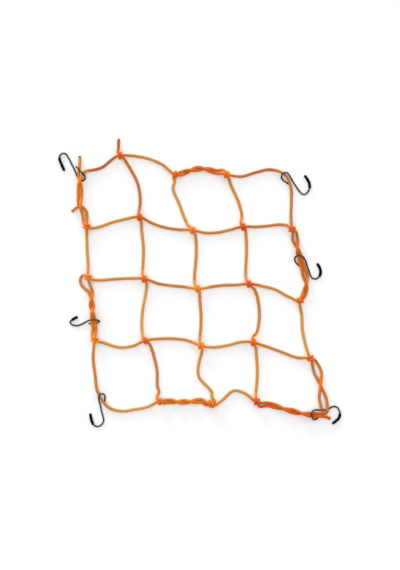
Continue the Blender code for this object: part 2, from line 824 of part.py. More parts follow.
def finish(colour, roughness, metallic, name):
    """A Principled material."""
    material = bpy.data.materials.new(name)
    material.use_nodes = True
    shader = material.node_tree.nodes["Principled BSDF"]
    shader.inputs["Base Color"].default_value = (*colour, 1.0)
    shader.inputs["Roughness"].default_value = roughness
    shader.inputs["Metallic"].default_value = metallic
    return material


def tube(name, path, radii, material, collection):
    """A closed tube along a path, flat where it lies on the surface."""
    curve = bpy.data.curves.new(name, "CURVE")
    curve.dimensions = "3D"
    curve.bevel_depth = 1.0
    curve.bevel_resolution = 2
    curve.use_fill_caps = True
    spline = curve.splines.new("POLY")
    spline.points.add(len(path) - 1)
    for point, place, radius in zip(spline.points, path, radii):
        point.co = (*place, 1.0)
        point.radius = radius
    guide = bpy.data.objects.new(name + "_guide", curve)
    collection.objects.link(guide)
    bpy.context.view_layer.update()
    evaluated = guide.evaluated_get(bpy.context.evaluated_depsgraph_get())
    mesh = bpy.data.meshes.new_from_object(evaluated)
    bpy.data.objects.remove(guide)
    work = bmesh.new()
    work.from_mesh(mesh)
    bmesh.ops.remove_doubles(work, verts=work.verts, dist=0.00001)
    band = FLAT_BAND * max(radii)
    for vertex in work.verts:
        if vertex.co.z < band:
            vertex.co.z = 0.0
    bmesh.ops.recalc_face_normals(work, faces=work.faces)
    work.to_mesh(mesh)
    work.free()
    mesh.name = name
    mesh.materials.clear()
    mesh.materials.append(material)
    mesh.shade_smooth()
    mesh.set_sharp_from_angle(angle=math.radians(50))
    piece = bpy.data.objects.new(name, mesh)
    collection.objects.link(piece)
    return piece


def build_cords(collection):
    """The three cords of the net."""
    material = finish((0.83, 0.17, 0.012), 0.75, 0.0, "orange_cord")
    for name, route in (("border_cord", border_route()), ("column_cord", column_route()),
                        ("row_cord", row_route())):
        path = cord_path(route)
        radii = [cord_radius(x / UNIT, y / UNIT) for x, y, _ in path]
        tube(name, path, radii, material, collection)


def build_hook(place, steel, coating, collection):
    """One S-hook: its bent wire, and the coated tip with a rounded end."""
    wire, path = hook_paths(place)
    tube("hook_" + place, wire, [WIRE_R] * len(wire), steel, collection)
    direction = path[-1] - path[-2]
    direction = direction / np.linalg.norm(direction)
    nose = [path[-1] + direction * TIP_R * math.sin(math.radians(a)) for a in (35, 62, 80)]
    shrink = [TIP_R * math.cos(math.radians(a)) for a in (35, 62, 80)]
    tube("tip_" + place, np.array([*path, *nose]), [TIP_R] * len(path) + shrink, coating, collection)


def main():
    """Build the net and its hooks, and stand them over the origin."""
    for old in list(bpy.data.objects):
        bpy.data.objects.remove(old)
    collection = bpy.data.collections.new("cargo_net")
    bpy.context.scene.collection.children.link(collection)
    build_cords(collection)
    steel = finish((0.13, 0.13, 0.13), 0.35, 0.9, "hook_steel")
    coating = finish((0.012, 0.012, 0.012), 0.25, 0.0, "tip_coating")
    for place in HOOKS:
        build_hook(place, steel, coating, collection)
    corners = [Vector(corner) for piece in collection.objects for corner in piece.bound_box]
    low = [min(corner[axis] for corner in corners) for axis in range(3)]
    high = [max(corner[axis] for corner in corners) for axis in range(3)]
    shift = Vector((-(low[0] + high[0]) / 2, -(low[1] + high[1]) / 2, -low[2]))
    for piece in collection.objects:
        piece.data.transform(Matrix.Translation(shift))


if __name__ == "__main__":
    main()
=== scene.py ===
"""Dresses the stretch cargo net: three braided elastic cords and six S-hooks lying flat.

The border cord runs round the rectangle.  The column cord and the row cord each run back and forth
across it, wrap whatever they cross, and lie beside the border where they pass from one line to the
next.  Each hook is a bent wire with a dipped tip.  Plan positions are in layout units, X right and
Y up, and heights are in metres above the surface on which the net lies.
"""

import logging
import math
from collections.abc import Sequence
from dataclasses import dataclass
from enum import Enum
from typing import NamedTuple

import bmesh
import bpy
import numpy as np
from mathutils import Matrix, Vector
from mathutils.kdtree import KDTree


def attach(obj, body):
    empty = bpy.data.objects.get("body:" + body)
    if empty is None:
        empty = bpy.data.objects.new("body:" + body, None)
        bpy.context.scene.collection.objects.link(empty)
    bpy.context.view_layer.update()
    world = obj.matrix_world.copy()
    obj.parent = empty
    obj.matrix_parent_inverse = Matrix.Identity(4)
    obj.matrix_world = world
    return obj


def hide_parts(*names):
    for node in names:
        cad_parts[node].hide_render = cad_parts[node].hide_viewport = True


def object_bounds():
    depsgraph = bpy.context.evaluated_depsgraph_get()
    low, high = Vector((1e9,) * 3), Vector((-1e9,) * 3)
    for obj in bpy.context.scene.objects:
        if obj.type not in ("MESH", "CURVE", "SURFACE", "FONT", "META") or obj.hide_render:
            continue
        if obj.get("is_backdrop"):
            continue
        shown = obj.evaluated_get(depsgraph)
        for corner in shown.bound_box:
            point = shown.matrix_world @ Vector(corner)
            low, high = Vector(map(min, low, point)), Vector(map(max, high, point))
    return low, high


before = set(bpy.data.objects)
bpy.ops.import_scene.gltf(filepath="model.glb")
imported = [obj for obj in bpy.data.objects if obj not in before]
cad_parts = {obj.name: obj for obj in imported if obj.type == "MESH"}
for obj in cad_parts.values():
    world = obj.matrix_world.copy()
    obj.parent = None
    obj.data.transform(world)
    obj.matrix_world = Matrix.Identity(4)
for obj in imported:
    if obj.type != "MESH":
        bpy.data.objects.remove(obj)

LOG = logging.getLogger("cargo_net")

# Layout units are multiples of this length, in metres.
UNIT = 0.0016

# ------------------------------------------------------------------------------- route tables


def rows_of(kind: type, *rows: tuple[float, ...]) -> tuple:
    """The rows of a table, each made into a named tuple of the given kind."""
    return tuple(kind(*row) for row in rows)


class Side(Enum):
    """A direction in plan, X right and Y up."""

    UP = (0, 1)
    DOWN = (0, -1)
    LEFT = (-1, 0)
    RIGHT = (1, 0)


class FirstPass(Enum):
    """How a wrapping cord first meets the cord that it grips."""

    OVER = "over"
    UNDER = "under"


class WayOut(Enum):
    """Where a wrapping cord goes after its last turn, if it isn't led to another stop."""

    ASIDE = "along the gripped cord"
    LOOP = "into a free loop"


class Knot(NamedTuple):
    """A knot: where it is, the side its turns start from, the way they move, and how they start.

    The tone is 0 where the sheath is russet and 1 where it is amber.
    """

    x: float
    y: float
    tone: float
    near: Side = Side.UP
    lead: Side = Side.RIGHT
    first: FirstPass = FirstPass.OVER
    turns: int = 1


KNOTS = {
    "top_1": Knot(-79.5, 134.0, 0.2, Side.DOWN, Side.LEFT),
    "top_2": Knot(-24.3, 115.3, 0.3, Side.DOWN, Side.RIGHT, FirstPass.UNDER),
    "top_3": Knot(26.5, 115.3, 0.45, Side.DOWN, Side.LEFT),
    "left_1": Knot(-113.0, 63.5, 0.4, Side.RIGHT, Side.UP),
    "cell_11": Knot(-60.2, 72.5, 0.25),
    "cell_12": Knot(-7.2, 59.5, 0.6),
    "cell_13": Knot(43.0, 63.0, 0.15),
    "right_1": Knot(92.0, 60.5, 0.25, Side.LEFT, Side.DOWN),
    "left_2": Knot(-111.5, 12.5, 0.6, Side.RIGHT, Side.UP),
    "cell_21": Knot(-55.4, 11.0, 0.3),
    "cell_22": Knot(-2.2, 1.2, 0.75),
    "cell_23": Knot(48.8, 6.0, 0.1),
    "right_2": Knot(100.0, -10.3, 0.35, Side.LEFT, Side.UP, FirstPass.UNDER),
    "left_3": Knot(-105.0, -49.5, 0.65, Side.RIGHT, Side.UP),
    "cell_31": Knot(-54.3, -50.5, 0.35),
    "cell_32": Knot(1.0, -55.5, 0.75),
    "cell_33": Knot(53.3, -52.5, 0.3),
    "right_3": Knot(110.0, -68.0, 0.35, Side.LEFT, Side.DOWN),
    "bottom_1": Knot(-40.0, -111.0, 0.4),
    "bottom_2": Knot(11.4, -113.6, 0.4, Side.UP, Side.LEFT, FirstPass.UNDER, 2),
    "bottom_3": Knot(56.8, -111.5, 0.1),
}

CORNERS = {
    "corner_tl": (-118.0, 116.5),
    "corner_tr": (85.5, 114.5),
    "corner_br": (125.5, -124.0),
    "corner_bl": (-91.5, -117.0),
    "joint": (-113.0, 78.0),
    "tail_top": (-80.8, 150.5),
}


class Span(NamedTuple):
    """A line between two stops, with its bow to the left of travel at its quarter points.

    The tone is 0 where the sheath is russet and 1 where it is amber.
    """

    start: str
    end: str
    quarter: float
    half: float
    three_quarter: float
    tone: float


SPANS = (
    # rows, left to right
    Span("left_1", "cell_11", -1.5, 0.0, 1.0, 0.6),
    Span("cell_11", "cell_12", -2.6, -3.6, -2.3, 0.35),
    Span("cell_12", "cell_13", -3.2, -3.6, -1.7, 0.45),
    Span("cell_13", "right_1", 0.9, 2.4, 3.4, 0.35),
    Span("left_2", "cell_21", -1.3, -0.6, 0.4, 0.55),
    Span("cell_21", "cell_22", -1.8, -1.6, -0.4, 0.4),
    Span("cell_22", "cell_23", 0.8, 1.3, 0.4, 0.4),
    Span("cell_23", "right_2", 2.2, 2.8, 1.3, 0.55),
    Span("left_3", "cell_31", -3.3, -7.2, -5.5, 0.65),
    Span("cell_31", "cell_32", 3.2, 4.5, 4.0, 0.5),
    Span("cell_32", "cell_33", -2.3, -1.3, 1.3, 0.6),
    Span("cell_33", "right_3", -0.3, -1.5, -3.5, 0.45),
    # columns, top to bottom
    Span("top_1", "cell_11", 5.2, 8.2, 6.3, 0.3),
    Span("cell_11", "cell_21", 0.3, 1.2, 0.3, 0.65),
    Span("cell_21", "cell_31", 0.0, -2.5, -3.1, 0.9),
    Span("cell_31", "bottom_1", 3.7, 4.2, 3.2, 0.45),
    Span("top_2", "cell_12", -4.0, -5.2, -3.7, 0.75),
    Span("cell_12", "cell_22", 1.5, 0.6, -1.3, 0.6),
    Span("cell_22", "cell_32", 0.7, 1.6, 1.0, 0.5),
    Span("cell_32", "bottom_2", -5.2, -7.8, -3.1, 0.7),
    Span("top_3", "cell_13", 0.6, 3.0, 3.5, 0.55),
    Span("cell_13", "cell_23", 1.1, 0.4, -1.0, 0.6),
    Span("cell_23", "cell_33", 6.9, 8.3, 6.6, 0.45),
    Span("cell_33", "bottom_3", 1.7, 2.2, 1.2, 0.7),
    # border, clockwise from the top left corner
    Span("corner_tl", "top_1", -1.3, -2.7, 0.0, 0.05),
    Span("top_1", "top_2", 4.8, 6.5, 5.0, 0.6),
    Span("top_2", "top_3", 3.6, 6.0, 3.4, 0.28),
    Span("top_3", "corner_tr", -1.6, 2.8, 5.7, 0.2),
    Span("corner_tr", "right_1", 3.8, 2.5, 0.5, 0.35),
    Span("right_1", "right_2", 2.9, 5.8, 8.0, 0.3),
    Span("right_2", "right_3", -0.9, -2.8, -2.3, 0.75),
    Span("right_3", "corner_br", 3.6, 2.7, 1.2, 0.42),
    Span("corner_br", "bottom_3", 3.3, 2.8, 1.0, 0.2),
    Span("bottom_3", "bottom_2", -8.9, -12.0, -3.5, 0.7),
    Span("bottom_2", "bottom_1", -2.2, -0.7, -0.4, 0.42),
    Span("bottom_1", "corner_bl", 4.1, 5.2, 5.4, 0.75),
    Span("corner_bl", "left_3", 7.4, 6.8, 5.3, 0.45),
    Span("left_3", "left_2", -0.8, -0.5, -1.0, 0.5),
    Span("left_2", "left_1", 0.0, 0.5, 0.4, 0.8),
    Span("left_1", "joint", 0.0, 0.0, 0.0, 0.6),
    # tail of the column cord
    Span("top_1", "tail_top", 0.0, 0.0, 0.0, 0.0),
)


class PairStation(NamedTuple):
    """A place along a pair: share of the span, half turns of twist so far, spread in pitches."""

    share: float
    half_turns: float
    spread: float


PAIRS = {
    ("top_2", "top_3"): rows_of(
        PairStation, (0.16, 0.0, 1.16), (0.29, 0.5, 1.12), (0.42, 1.0, 1.16), (0.56, 1.5, 1.12),
        (0.69, 2.0, 1.1), (0.78, 2.0, 1.08),
    ),
    ("right_1", "right_2"): rows_of(
        PairStation, (0.15, 0.0, 1.75), (0.262, 0.5, 1.12), (0.355, 1.0, 1.04), (0.52, 1.0, 1.08),
        (0.66, 1.0, 1.46), (0.78, 1.5, 1.14), (0.88, 2.0, 1.1),
    ),
    ("right_3", "corner_br"): rows_of(
        PairStation, (0.18, 0.0, 2.2), (0.27, 0.0, 2.4), (0.49, 0.5, 1.5), (0.74, 1.0, 2.35),
        (0.85, 1.0, 2.2), (0.92, 1.0, 1.75),
    ),
    ("corner_br", "bottom_3"): rows_of(
        PairStation, (0.08, 0.0, 1.06), (0.2, 0.0, 1.06), (0.33, 0.5, 1.12), (0.46, 1.0, 1.12),
        (0.6, 1.5, 1.12), (0.74, 2.0, 1.16), (0.83, 2.0, 1.1),
    ),
    ("bottom_2", "bottom_1"): rows_of(
        PairStation, (0.18, 0.0, 1.16), (0.27, 0.0, 1.12), (0.4, 0.5, 1.12), (0.53, 1.0, 1.12),
        (0.66, 1.5, 1.12), (0.79, 2.0, 1.12),
    ),
    ("left_3", "left_2"): rows_of(
        PairStation, (0.16, 0.0, 1.12), (0.35, 0.0, 1.06), (0.45, 0.5, 1.24), (0.55, 1.0, 1.22),
        (0.65, 1.5, 1.22), (0.75, 2.0, 1.18),
    ),
}


class Lift(NamedTuple):
    """A place where the cords are raised over a hook's wire."""

    x: float
    y: float
    inner: float
    outer: float


LIFTS = (
    Lift(-119.5, 114.0, 8.0, 20.0),
    Lift(86.0, 111.0, 9.0, 20.0),
    Lift(-106.0, -31.0, 6.5, 14.0),
    Lift(-98.0, -108.0, 8.0, 20.0),
    Lift(99.0, 29.0, 8.0, 18.0),
    Lift(118.0, -122.0, 12.0, 24.0),
)


class WirePoint(NamedTuple):
    """A point on a hook's wire; level 0 is on the surface and 1 is over the lifted cord."""

    x: float
    y: float
    level: float = 0.0


HOOKS = {
    "top_left": rows_of(
        WirePoint, (-123.8, 123.0, 0.95), (-121.0, 120.4, 1.0), (-119.2, 118.3, 1.0),
        (-117.2, 116.6, 1.08), (-115.0, 114.2, 0.8), (-114.9, 111.4, 0.4), (-116.6, 109.3),
        (-119.6, 110.2), (-122.4, 113.2), (-125.2, 119.5), (-130.0, 129.5), (-132.7, 134.3),
        (-134.1, 135.9), (-136.0, 136.6), (-138.3, 136.2), (-139.8, 134.8), (-140.4, 132.4),
    ),
    "top_right": rows_of(
        WirePoint, (89.6, 105.3), (87.0, 107.0), (84.0, 109.0), (82.2, 110.7, 0.1),
        (81.3, 112.8, 0.5), (82.0, 115.2, 0.9), (84.0, 116.9, 1.0), (86.4, 117.0, 1.0),
        (89.0, 114.6, 0.7), (91.6, 110.6, 0.1), (94.0, 106.7), (97.0, 102.0), (100.0, 98.0),
        (102.0, 96.1), (104.0, 95.4), (106.2, 96.4), (108.2, 98.6), (109.4, 101.8),
    ),
    "left_middle": rows_of(
        WirePoint, (-111.3, -33.6), (-108.0, -33.2), (-104.5, -32.9), (-101.4, -32.2, 0.15),
        (-100.2, -31.2, 0.55), (-101.4, -30.2, 1.0), (-104.5, -29.6, 1.15), (-108.0, -29.6, 1.15),
        (-110.6, -30.3, 1.0), (-112.6, -31.3, 0.6), (-115.0, -32.5, 0.15), (-118.0, -34.0),
        (-121.0, -35.3), (-123.0, -35.7), (-125.5, -35.5), (-127.6, -34.9), (-129.2, -33.8),
        (-129.8, -32.3), (-129.2, -30.9), (-128.2, -30.1),
    ),
    "bottom_left": rows_of(
        WirePoint, (-95.4, -112.0), (-95.1, -109.5), (-94.9, -107.1, 0.15), (-95.2, -105.0, 0.5),
        (-96.6, -103.6, 0.9), (-98.5, -103.4, 1.0), (-100.2, -104.6, 1.0), (-101.0, -107.0, 1.0),
        (-100.9, -110.0, 0.6), (-100.0, -114.0), (-98.5, -121.0), (-96.8, -127.0),
        (-96.3, -130.0), (-96.8, -132.2), (-98.2, -134.3), (-100.2, -135.8), (-102.5, -136.4),
        (-104.8, -135.9), (-106.6, -134.4),
    ),
    "right_middle": rows_of(
        WirePoint, (101.0, 22.5), (98.5, 25.0), (96.0, 27.2), (94.7, 29.8, 0.2),
        (94.6, 32.2, 0.6), (96.7, 34.2, 1.08), (99.6, 34.6, 1.12), (102.6, 33.2, 1.0),
        (104.8, 30.0, 0.6), (106.2, 26.8, 0.2), (107.4, 23.2), (108.8, 19.4), (110.2, 15.0),
        (111.8, 12.4), (114.2, 11.1), (117.0, 11.5), (119.2, 13.6),
    ),
    "bottom_right": rows_of(
        WirePoint, (118.4, -127.4), (116.6, -128.9), (114.4, -129.5, 0.2), (112.8, -128.6, 0.72),
        (111.8, -126.5, 1.05), (111.0, -124.0, 1.0), (111.6, -121.4, 1.0), (113.4, -120.0, 0.8),
        (116.5, -119.7, 0.3), (120.0, -120.0), (124.0, -120.0), (128.0, -119.3), (130.2, -117.9),
        (132.0, -116.8), (134.3, -116.4), (136.8, -117.0), (138.6, -118.9), (139.6, -121.6),
        (139.8, -123.6),
    ),
}

# The coated end of each hook, after the last point of its wire.
TIPS = {
    "top_left": rows_of(
        WirePoint, (-140.2, 130.0), (-138.9, 126.8), (-137.3, 123.0), (-135.9, 120.2),
    ),
    "top_right": rows_of(
        WirePoint, (109.6, 104.2), (109.0, 107.4), (107.2, 110.8), (105.2, 113.6),
    ),
    "left_middle": rows_of(
        WirePoint, (-127.1, -29.4), (-125.2, -28.3), (-123.3, -27.3),
    ),
    "bottom_left": rows_of(
        WirePoint, (-107.6, -132.6), (-108.4, -130.0), (-109.0, -127.4), (-109.4, -124.6),
    ),
    "right_middle": rows_of(
        WirePoint, (120.2, 15.8), (120.5, 19.0), (119.5, 22.4), (117.6, 25.6),
    ),
    "bottom_right": rows_of(
        WirePoint, (139.6, -125.8), (138.6, -128.3), (136.2, -130.6), (133.3, -132.9),
    ),
}


class FreePoint(NamedTuple):
    """A listed point of a cord; rise is its height over the surface, in pair pitches."""

    x: float
    y: float
    rise: float = 0.0


class LegPoint(NamedTuple):
    """A point where a cord nears the knot that it wraps.

    Its distance and rise are in knot pitches, and its shift beside the cord's own line, and its
    least distance from the middle of the knot, are shares of half the width of the turns.
    """

    distance: float
    shift: float
    least: float
    rise: float


class TurnPoint(NamedTuple):
    """A point of a cord that leaves a knot along the cord that it grips, in knot pitches.

    Its side is across the gripped cord, and it is counted from the last turn outwards.
    """

    side: float
    beyond: float
    rise: float


# Angles round the gripped cord at which the turns start and end, short of their whole turns.
OVER_ANGLES = (math.radians(45), math.radians(135))
UNDER_ANGLES = (math.radians(-90), math.radians(-90))

OVER_LEGS = (
    LegPoint(5.4, 0.42, -1.0, 0.0),
    LegPoint(3.4, 0.66, -1.0, 0.0),
    LegPoint(1.90, 0.84, 0.95, 0.85),
)
UNDER_LEGS = (
    LegPoint(5.2, 0.42, -1.0, 0.0),
    LegPoint(2.6, 0.72, -1.0, 0.0),
    LegPoint(1.15, 0.90, 1.00, 0.0),
)
ASIDE_OVER = rows_of(TurnPoint, (-1.1, 0.45, 1.2), (-1.3, 1.15, 0.5))
ASIDE_UNDER = rows_of(TurnPoint, (-0.95, 0.35, 0.0))

ROW_STOPS = (
    ("left_1", "cell_11", "cell_12", "cell_13", "right_1"),
    ("left_2", "cell_21", "cell_22", "cell_23", "right_2"),
    ("left_3", "cell_31", "cell_32", "cell_33", "right_3"),
)
COLUMN_STOPS = (
    ("top_1", "cell_11", "cell_21", "cell_31", "bottom_1"),
    ("top_2", "cell_12", "cell_22", "cell_32", "bottom_2"),
    ("top_3", "cell_13", "cell_23", "cell_33", "bottom_3"),
)
BORDER_STOPS = (
    "corner_tl", "top_1", "top_2", "top_3", "corner_tr", "right_1", "right_2", "right_3",
    "corner_br", "bottom_3", "bottom_2", "bottom_1", "corner_bl", "left_3", "left_2", "left_1",
    "joint",
)

BORDER_START = rows_of(
    FreePoint, (-121.3, 85.4), (-121.9, 90.0), (-121.8, 95.0), (-121.6, 100.0),
    (-121.2, 104.2, 0.65), (-119.9, 108.2, 1.14), (-118.5, 112.0, 0.75), (-117.5, 114.9, 0.1),
    (-115.9, 117.3), (-113.2, 118.9),
)
BORDER_AT_CORNER_BR = rows_of(
    FreePoint, (127.2, -120.6), (125.8, -122.7), (123.4, -123.1),
)
BORDER_END = rows_of(
    FreePoint, (-112.7, 74.5), (-113.2, 77.3), (-114.4, 79.8), (-116.2, 81.8), (-118.5, 83.2),
    (-121.0, 83.4), (-123.3, 82.5), (-125.4, 80.8), (-127.6, 78.7),
)
COLUMN_END = rows_of(
    FreePoint, (124.0, -126.4), (127.0, -127.1), (129.7, -128.3),
)
ROW_LOOP = rows_of(
    FreePoint, (-113.6, 0.2), (-115.6, 1.6), (-117.6, 3.6), (-119.1, 6.2), (-119.8, 9.0),
    (-119.4, 11.8), (-118.0, 14.0, 0.15), (-115.9, 14.9, 0.75),
)
ROW_END = rows_of(
    FreePoint, (-117.6, 77.0, 0.25), (-118.9, 80.6, 0.95), (-119.4, 83.6, 1.12),
    (-119.1, 87.5, 0.8), (-118.4, 92.0, 0.1), (-118.1, 96.0), (-118.1, 100.5), (-118.6, 104.6),
    (-119.8, 108.6), (-120.9, 112.0), (-121.1, 116.0), (-120.4, 121.5), (-120.0, 127.5),
    (-120.2, 133.5),
)

# ------------------------------------------------------------------------------------- sizes


@dataclass(frozen=True)
class Gauge:
    """Sizes that the routes and the tubes are worked out from.

    Lengths are in metres.  Names that end in "pitches" count the spacing of a knot's turns.
    """

    cord_r: float = 0.0024
    knot_r: float = 0.00217
    pulled_r: float = 0.00185
    knot_gap: float = 0.00066
    pair_gap: float = 0.0004
    wire_r: float = 0.00115
    tip_r: float = 0.0022
    touch_gap: float = 0.00035
    # A turn: how far it moves along the gripped cord, in knot pitches, and its points' spacing.
    advance: float = 1.05
    turn_step: float = math.radians(45)
    # A pair, in its own pitches: how much closer it is drawn, the least spread, and its rise.
    pair_snug: float = 0.16
    pair_least: float = 0.94
    pair_rise: float = 1.14
    # How sharply the rise peaks, and the spacing of a pair's points in layout units.
    rise_power: float = 1.4
    pair_step_units: float = 3.6
    # How far from a knot its cords are drawn down, and how far its coils reach.
    strained_pitches: float = 2.2
    easing_pitches: float = 2.0
    coiled_pitches: float = 1.5
    # Height of a tube's axis over the surface, in radii, where its lowest facet lies flat.
    level: float = math.cos(math.radians(22.5))

    @property
    def knot_pitch(self) -> float:
        """Distance between the axes of a turn and of the cord that it grips."""
        return 2 * self.pulled_r + self.knot_gap

    @property
    def pair_pitch(self) -> float:
        """Distance between the axes of two cords that touch."""
        return 2 * self.cord_r + self.pair_gap

    @property
    def cord_z(self) -> float:
        """Height of a cord's axis where it lies on the surface."""
        return self.cord_r * self.level

    @property
    def knot_z(self) -> float:
        """Height of the axis of a gripped cord."""
        return self.cord_z + self.knot_pitch

    @property
    def wire_z(self) -> float:
        """Height of a wire's axis where it lies on the surface."""
        return self.wire_r * self.level

    @property
    def hook_lift(self) -> float:
        """How far a cord rises to clear a wire beneath it."""
        return 2 * self.wire_r + self.touch_gap

    @property
    def wire_over_z(self) -> float:
        """Height of a wire's axis where it passes over a lifted cord."""
        return self.hook_lift + 2 * self.cord_r + self.touch_gap + self.wire_r


# ------------------------------------------------------------------------------------- routes

QUARTERS = (0.0, 0.25, 0.5, 0.75, 1.0)
# Share of a span over which a cord's heading at a stop is taken.
HEADING_SHARE = 0.12
# Share of a span over which a pair's heading is taken.
PAIR_HEADING_SHARE = 0.01
HALF_TONE = 0.5
# Tone of the cord where it is crowded into the bottom right corner.
CORNER_TONE = 0.1


def eased(share: float) -> float:
    """A share from 0 to 1, with a gentle start and end."""
    return share * share * (3 - 2 * share)


def left_of(direction: np.ndarray) -> np.ndarray:
    """The unit vector to the left of a plan direction."""
    unit = direction / np.linalg.norm(direction)
    return np.array((-unit[1], unit[0]))


def at_height(plan: Sequence[float], height: float, tone: float = HALF_TONE) -> np.ndarray:
    """A route point: plan position, height in metres, and the cord's tone there."""
    return np.array((plan[0], plan[1], height, tone))


@dataclass(frozen=True)
class NetPlan:
    """Works out the routes of the three cords from the tables."""

    gauge: Gauge = Gauge()

    def stop(self, name: str) -> np.ndarray:
        """Plan position of a knot or corner, in layout units."""
        return np.array(KNOTS[name][:2] if name in KNOTS else CORNERS[name])

    def find_span(self, start: str, end: str) -> tuple[Span, bool]:
        """The span between two stops.

        Args:
            start: name of the stop that the cord leaves.
            end: name of the stop that it reaches.

        Returns:
            The span, and whether it is travelled backwards.
        """
        for span in SPANS:
            if (span.start, span.end) == (start, end):
                return span, False
            if (span.start, span.end) == (end, start):
                return span, True
        raise KeyError(f"no span from {start} to {end}")

    def span_point(self, start: str, end: str, share: float) -> np.ndarray:
        """Plan point on the bowed line between two stops.

        Args:
            start: name of the stop that the cord leaves.
            end: name of the stop that it reaches.
            share: how much of the way it has gone.

        Returns:
            The point, in layout units.
        """
        span, backwards = self.find_span(start, end)
        if backwards:
            share = 1 - share
        first, last = self.stop(span.start), self.stop(span.end)
        bows = (0.0, span.quarter, span.half, span.three_quarter, 0.0)
        bow = 0.0
        for i, value in enumerate(bows):
            weight = 1.0
            for j, other in enumerate(QUARTERS):
                if j != i:
                    weight *= (share - other) / (QUARTERS[i] - other)
            bow += value * weight
        return first + (last - first) * share + left_of(last - first) * bow

    def heading(self, before: str, name: str, after: str) -> np.ndarray:
        """Direction of a cord as it passes through a stop.

        Args:
            before: name of the stop that it comes from.
            name: name of the stop.
            after: name of the stop that it goes to.

        Returns:
            The unit direction in plan.
        """
        ahead = self.span_point(name, after, HEADING_SHARE)
        direction = ahead - self.span_point(before, name, 1 - HEADING_SHARE)
        return direction / np.linalg.norm(direction)

    def lifted(self, x: float, y: float) -> float:
        """Height that the hooks add to a cord.

        Args:
            x: plan position, in layout units.
            y: plan position, in layout units.

        Returns:
            The added height, in metres.
        """
        lift = 0.0
        for zone in LIFTS:
            distance = math.hypot(x - zone.x, y - zone.y)
            share = min(1.0, max(0.0, (zone.outer - distance) / (zone.outer - zone.inner)))
            lift = max(lift, self.gauge.hook_lift * eased(share))
        return lift

    def from_knot(self, x: float, y: float) -> float:
        """Distance from a plan position to the nearest knot, in knot pitches."""
        nearest = min(math.hypot(x - knot.x, y - knot.y) for knot in KNOTS.values())
        return nearest / (self.gauge.knot_pitch / UNIT)

    def strain(self, x: float, y: float) -> float:
        """How far the cord is drawn down at a plan position: 1 in a knot, 0 between knots."""
        beyond = max(0.0, self.from_knot(x, y) - self.gauge.strained_pitches)
        return 1.0 - min(1.0, beyond / self.gauge.easing_pitches)

    def knotted(self, x: float, y: float) -> float:
        """Whether a plan position is in a knot: 1 among its coils, 0 beyond them."""
        return 1.0 - min(1.0, max(0.0, self.from_knot(x, y) - self.gauge.coiled_pitches))

    def cord_radius(self, x: float, y: float) -> float:
        """Cord radius at a plan position: drawn down in a knot, full between knots."""
        gauge = self.gauge
        return gauge.cord_r + (gauge.knot_r - gauge.cord_r) * self.strain(x, y)

    def crossed_direction(self, name: str) -> np.ndarray:
        """Direction of the cord that a knot grips, where it passes through.

        Args:
            name: name of the knot.

        Returns:
            The unit direction in plan, along the gripped cord's own line.
        """
        for line in (*ROW_STOPS, BORDER_STOPS):
            if name in line[1:-1]:
                place = line.index(name)
                return self.heading(line[place - 1], name, line[place + 1])
        raise KeyError(name)

    def gripped(self, name: str) -> list[np.ndarray]:
        """Points of the cord that passes straight through a knot.

        Args:
            name: name of the knot.

        Returns:
            Route points in the order of the gripped cord's line.
        """
        gauge, knot = self.gauge, KNOTS[name]
        along = self.crossed_direction(name)
        flat = (0.5 * gauge.advance * knot.turns + 0.5) * gauge.knot_pitch / UNIT
        shifts = np.linspace(-flat, flat, 1 + 2 * knot.turns)
        return [at_height(self.stop(name) + along * shift, gauge.knot_z, knot.tone)
                for shift in shifts]

    def turns(self, name: str, near_stop: str, leave: str | WayOut) -> list[np.ndarray]:
        """Points of the cord that wraps a knot, from its near side to its far side.

        Args:
            name: name of the knot.
            near_stop: name of the stop that it comes from.
            leave: name of the stop ahead, or another way out.

        Returns:
            Route points, spaced by the gauge's turn step.
        """
        gauge, knot = self.gauge, KNOTS[name]
        pitch = gauge.knot_pitch / UNIT
        along = self.crossed_direction(name)
        lead = along * np.sign(along @ knot.lead.value)
        near = left_of(along)
        near = near * np.sign(near @ knot.near.value)
        over = knot.first is FirstPass.OVER
        begin, finish = OVER_ANGLES if over else UNDER_ANGLES
        sweep = finish - begin + 2 * math.pi * knot.turns
        half = 0.5 * gauge.advance * sweep / (2 * math.pi)

        def point(side: float, ahead: float, rise: float) -> np.ndarray:
            """A point beside the knot, in knot pitches."""
            return at_height(self.stop(name) + (near * side + lead * ahead) * pitch,
                             gauge.cord_z + rise * gauge.knot_pitch, knot.tone)

        def leg(other: str, row: LegPoint, way: int) -> np.ndarray:
            """A point of the cord on its way to the knot, or from it.

            Args:
                other: name of the stop at the leg's far end.
                row: where the point is.
                way: -1 on the way to the knot, 1 on the way from it.

            Returns:
                The route point, in the tone of the leg's span.
            """
            share = row.distance * pitch / np.linalg.norm(self.stop(other) - self.stop(name))
            place = (self.span_point(name, other, share) - self.stop(name)) / pitch
            shift = max(way * (place @ lead) + half * row.shift, half * row.least)
            spot = point(place @ near, way * shift, row.rise)
            spot[3] = self.find_span(name, other)[0].tone
            return spot

        steps = round(sweep / gauge.turn_step)
        circle = []
        for i in range(steps + 1):
            angle = begin + (sweep if over else -sweep) * i / steps
            ahead = -half + 2 * half * i / steps
            circle.append(point(math.cos(angle), ahead, 1 + math.sin(angle)))
        legs = OVER_LEGS if over else UNDER_LEGS
        route = [leg(near_stop, row, -1) for row in legs] + circle
        if leave is WayOut.ASIDE:
            aside = ASIDE_OVER if over else ASIDE_UNDER
            route += [point(row.side, half + row.beyond, row.rise) for row in aside]
        elif leave is not WayOut.LOOP:
            route += [leg(leave, row, 1) for row in reversed(legs)]
        return route

